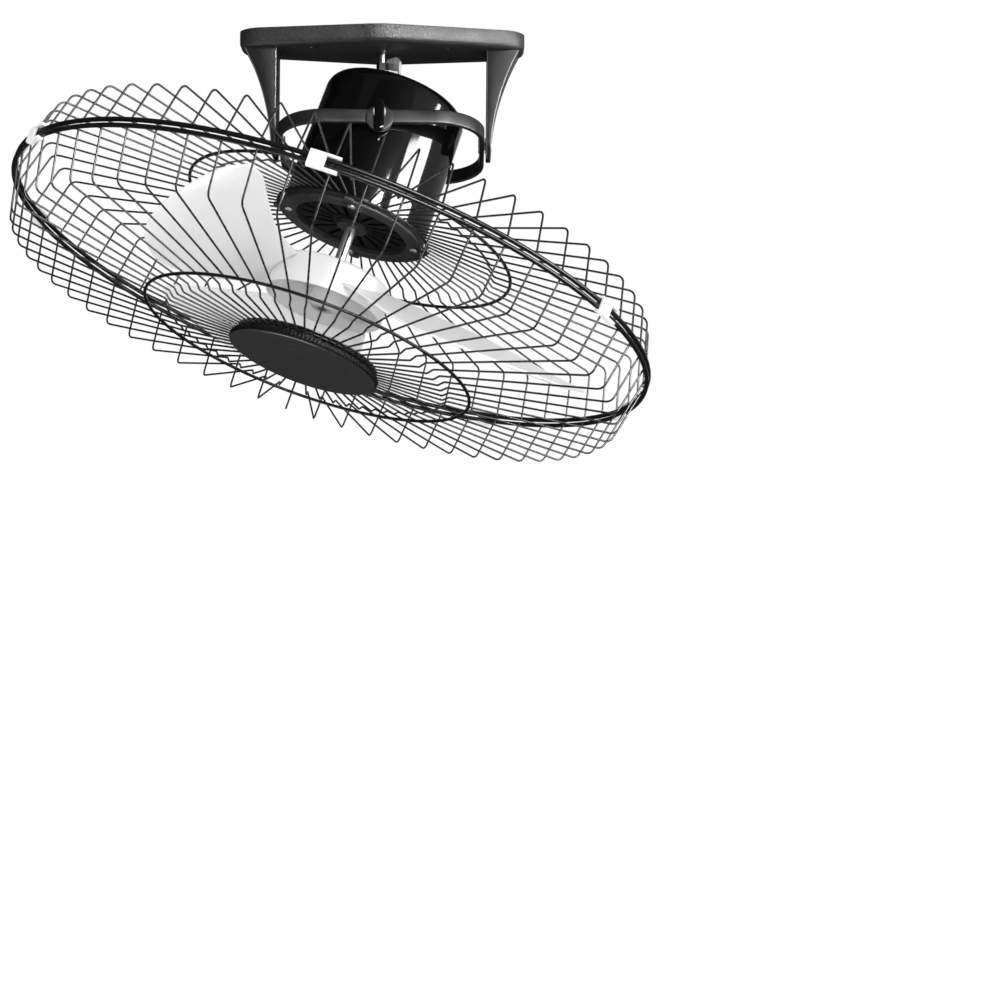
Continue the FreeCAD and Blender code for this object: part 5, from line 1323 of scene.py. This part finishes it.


# %% [markdown]
# The terminal block clamps three wires on either side. Each clamp is a screw in a collar on top and a
# mouth for the wire in the side, and thin ribs keep the poles apart. The bore of a mouth isn't cut: a dark
# disc inside its lip, painted shade, looks just as deep.

# %% Terminal block
BLOCK_X, BLOCK_HALF_X, BLOCK_HALF_Y = 30.0, 17.0, 7.2
BLOCK_LEVELS = ((0, TRAY_FLOOR), (0, -7.1), (0.2, -6.7), (0.6, -6.5))
POLES = (19.0, 30.0, 41.0)
CLAMP_Y, CLAMP_SEAT, MOUTH_Z = 3.9, -6.4, -9.8
COLLAR = [(2.5, -6.6, 0), (2.5, -2.5, 0.3), (3.3, -2.5, 0.3), (3.3, -6.6, 0)]
MOUTH_LIP = [(1.7, 6.8, 0), (1.7, 8.0, 0.2), (2.5, 8.0, 0.3), (2.5, 6.8, 0)]
# A dark disc inside each mouth's lip: painted shade for the uncut bore.
MOUTH_SHADE_DISC = [(AXIS, 6.9, 0), (1.65, 6.9, 0), (1.65, 7.35, 0), (AXIS, 7.35, 0)]
ROUND_SIDES = 28
RIBS_BETWEEN = (24.5, 35.5)
RIB_HALF, RIB_REACH, RIB_FOOT, RIB_TOP = 0.6, 6.9, -6.6, -3.6
BLOCK_FINISH, MOUTH_SHADE_FINISH = 0, 2
terminal_shape = bmesh.new()
clamps = [(x, y) for x in POLES for y in (CLAMP_Y, -CLAMP_Y)]
heads_up(terminal_shape, radius=2.3, height=1.3, length=1.0, spots=clamps, z=CLAMP_SEAT)
for face in terminal_shape.faces:
    face.material_index += 1
moulded_box(terminal_shape, BLOCK_X, BLOCK_HALF_X, BLOCK_HALF_Y, 1.5, BLOCK_LEVELS)
for x in POLES:
    for way in (1, -1):
        sideways = Matrix.Translation((x, 0, MOUTH_Z)) @ Matrix.Rotation(-math.pi / 2 * way, 4, "X")
        upright = Matrix.Translation((x, CLAMP_Y * way, 0))
        for outline, place, finish_number in ((COLLAR, upright, BLOCK_FINISH),
                                              (MOUTH_LIP, sideways, BLOCK_FINISH),
                                              (MOUTH_SHADE_DISC, sideways, MOUTH_SHADE_FINISH)):
            fitting = bmesh.new()
            turned(fitting, outline, sides=ROUND_SIDES)
            paint_from(fitting, 0, finish_number)
            add_shape(terminal_shape, fitting, place)
for x in RIBS_BETWEEN:
    slab(terminal_shape, bar_plan(x, RIB_HALF, RIB_REACH), RIB_FOOT, RIB_TOP)
mesh_piece("terminal_block_poles", terminal_shape, PLATE, "base", "terminal_block",
           extra_finish=[bright_steel, nut_black])

# %% [markdown]
# The capacitor is a plastic box that is filled with dark resin, with two flat metal tabs standing in it.
# The box's loops go up the side, over the rim and down to the resin, whose face takes a finish of its own.

# %% Capacitor
CAPACITOR_X, CAPACITOR_HALF_X, CAPACITOR_HALF_Y = -30.0, 19.0, 9.0
CAPACITOR_LEVELS = ((0.5, TRAY_FLOOR), (0.0, -12.5), (0.0, -3.4), (0.25, -3.0), (0.6, -2.9), (1.3, -2.9),
                    (1.5, -3.1), (1.6, -4.4))
TAB_SPOTS = (-40.0, -20.0)
RESIN_FINISH, TAB_FINISH = 1, 2
TAB_HALF_WIDTH, TAB_HALF, TAB_FOOT, TAB_TOP = 2.4, 0.4, -4.6, -2.0
capacitor_shape = bmesh.new()
resin = moulded_box(capacitor_shape, CAPACITOR_X, CAPACITOR_HALF_X, CAPACITOR_HALF_Y, 2.6, CAPACITOR_LEVELS)
resin.material_index = RESIN_FINISH
first_tab_face = len(capacitor_shape.faces)
for x in TAB_SPOTS:
    slab(capacitor_shape, bar_plan(x, TAB_HALF_WIDTH, TAB_HALF), TAB_FOOT, TAB_TOP)
paint_from(capacitor_shape, first_tab_face, TAB_FINISH)
mesh_piece("run_capacitor_potted", capacitor_shape, PLATE, "base", "run_capacitor",
           extra_finish=[nut_black, bright_steel])
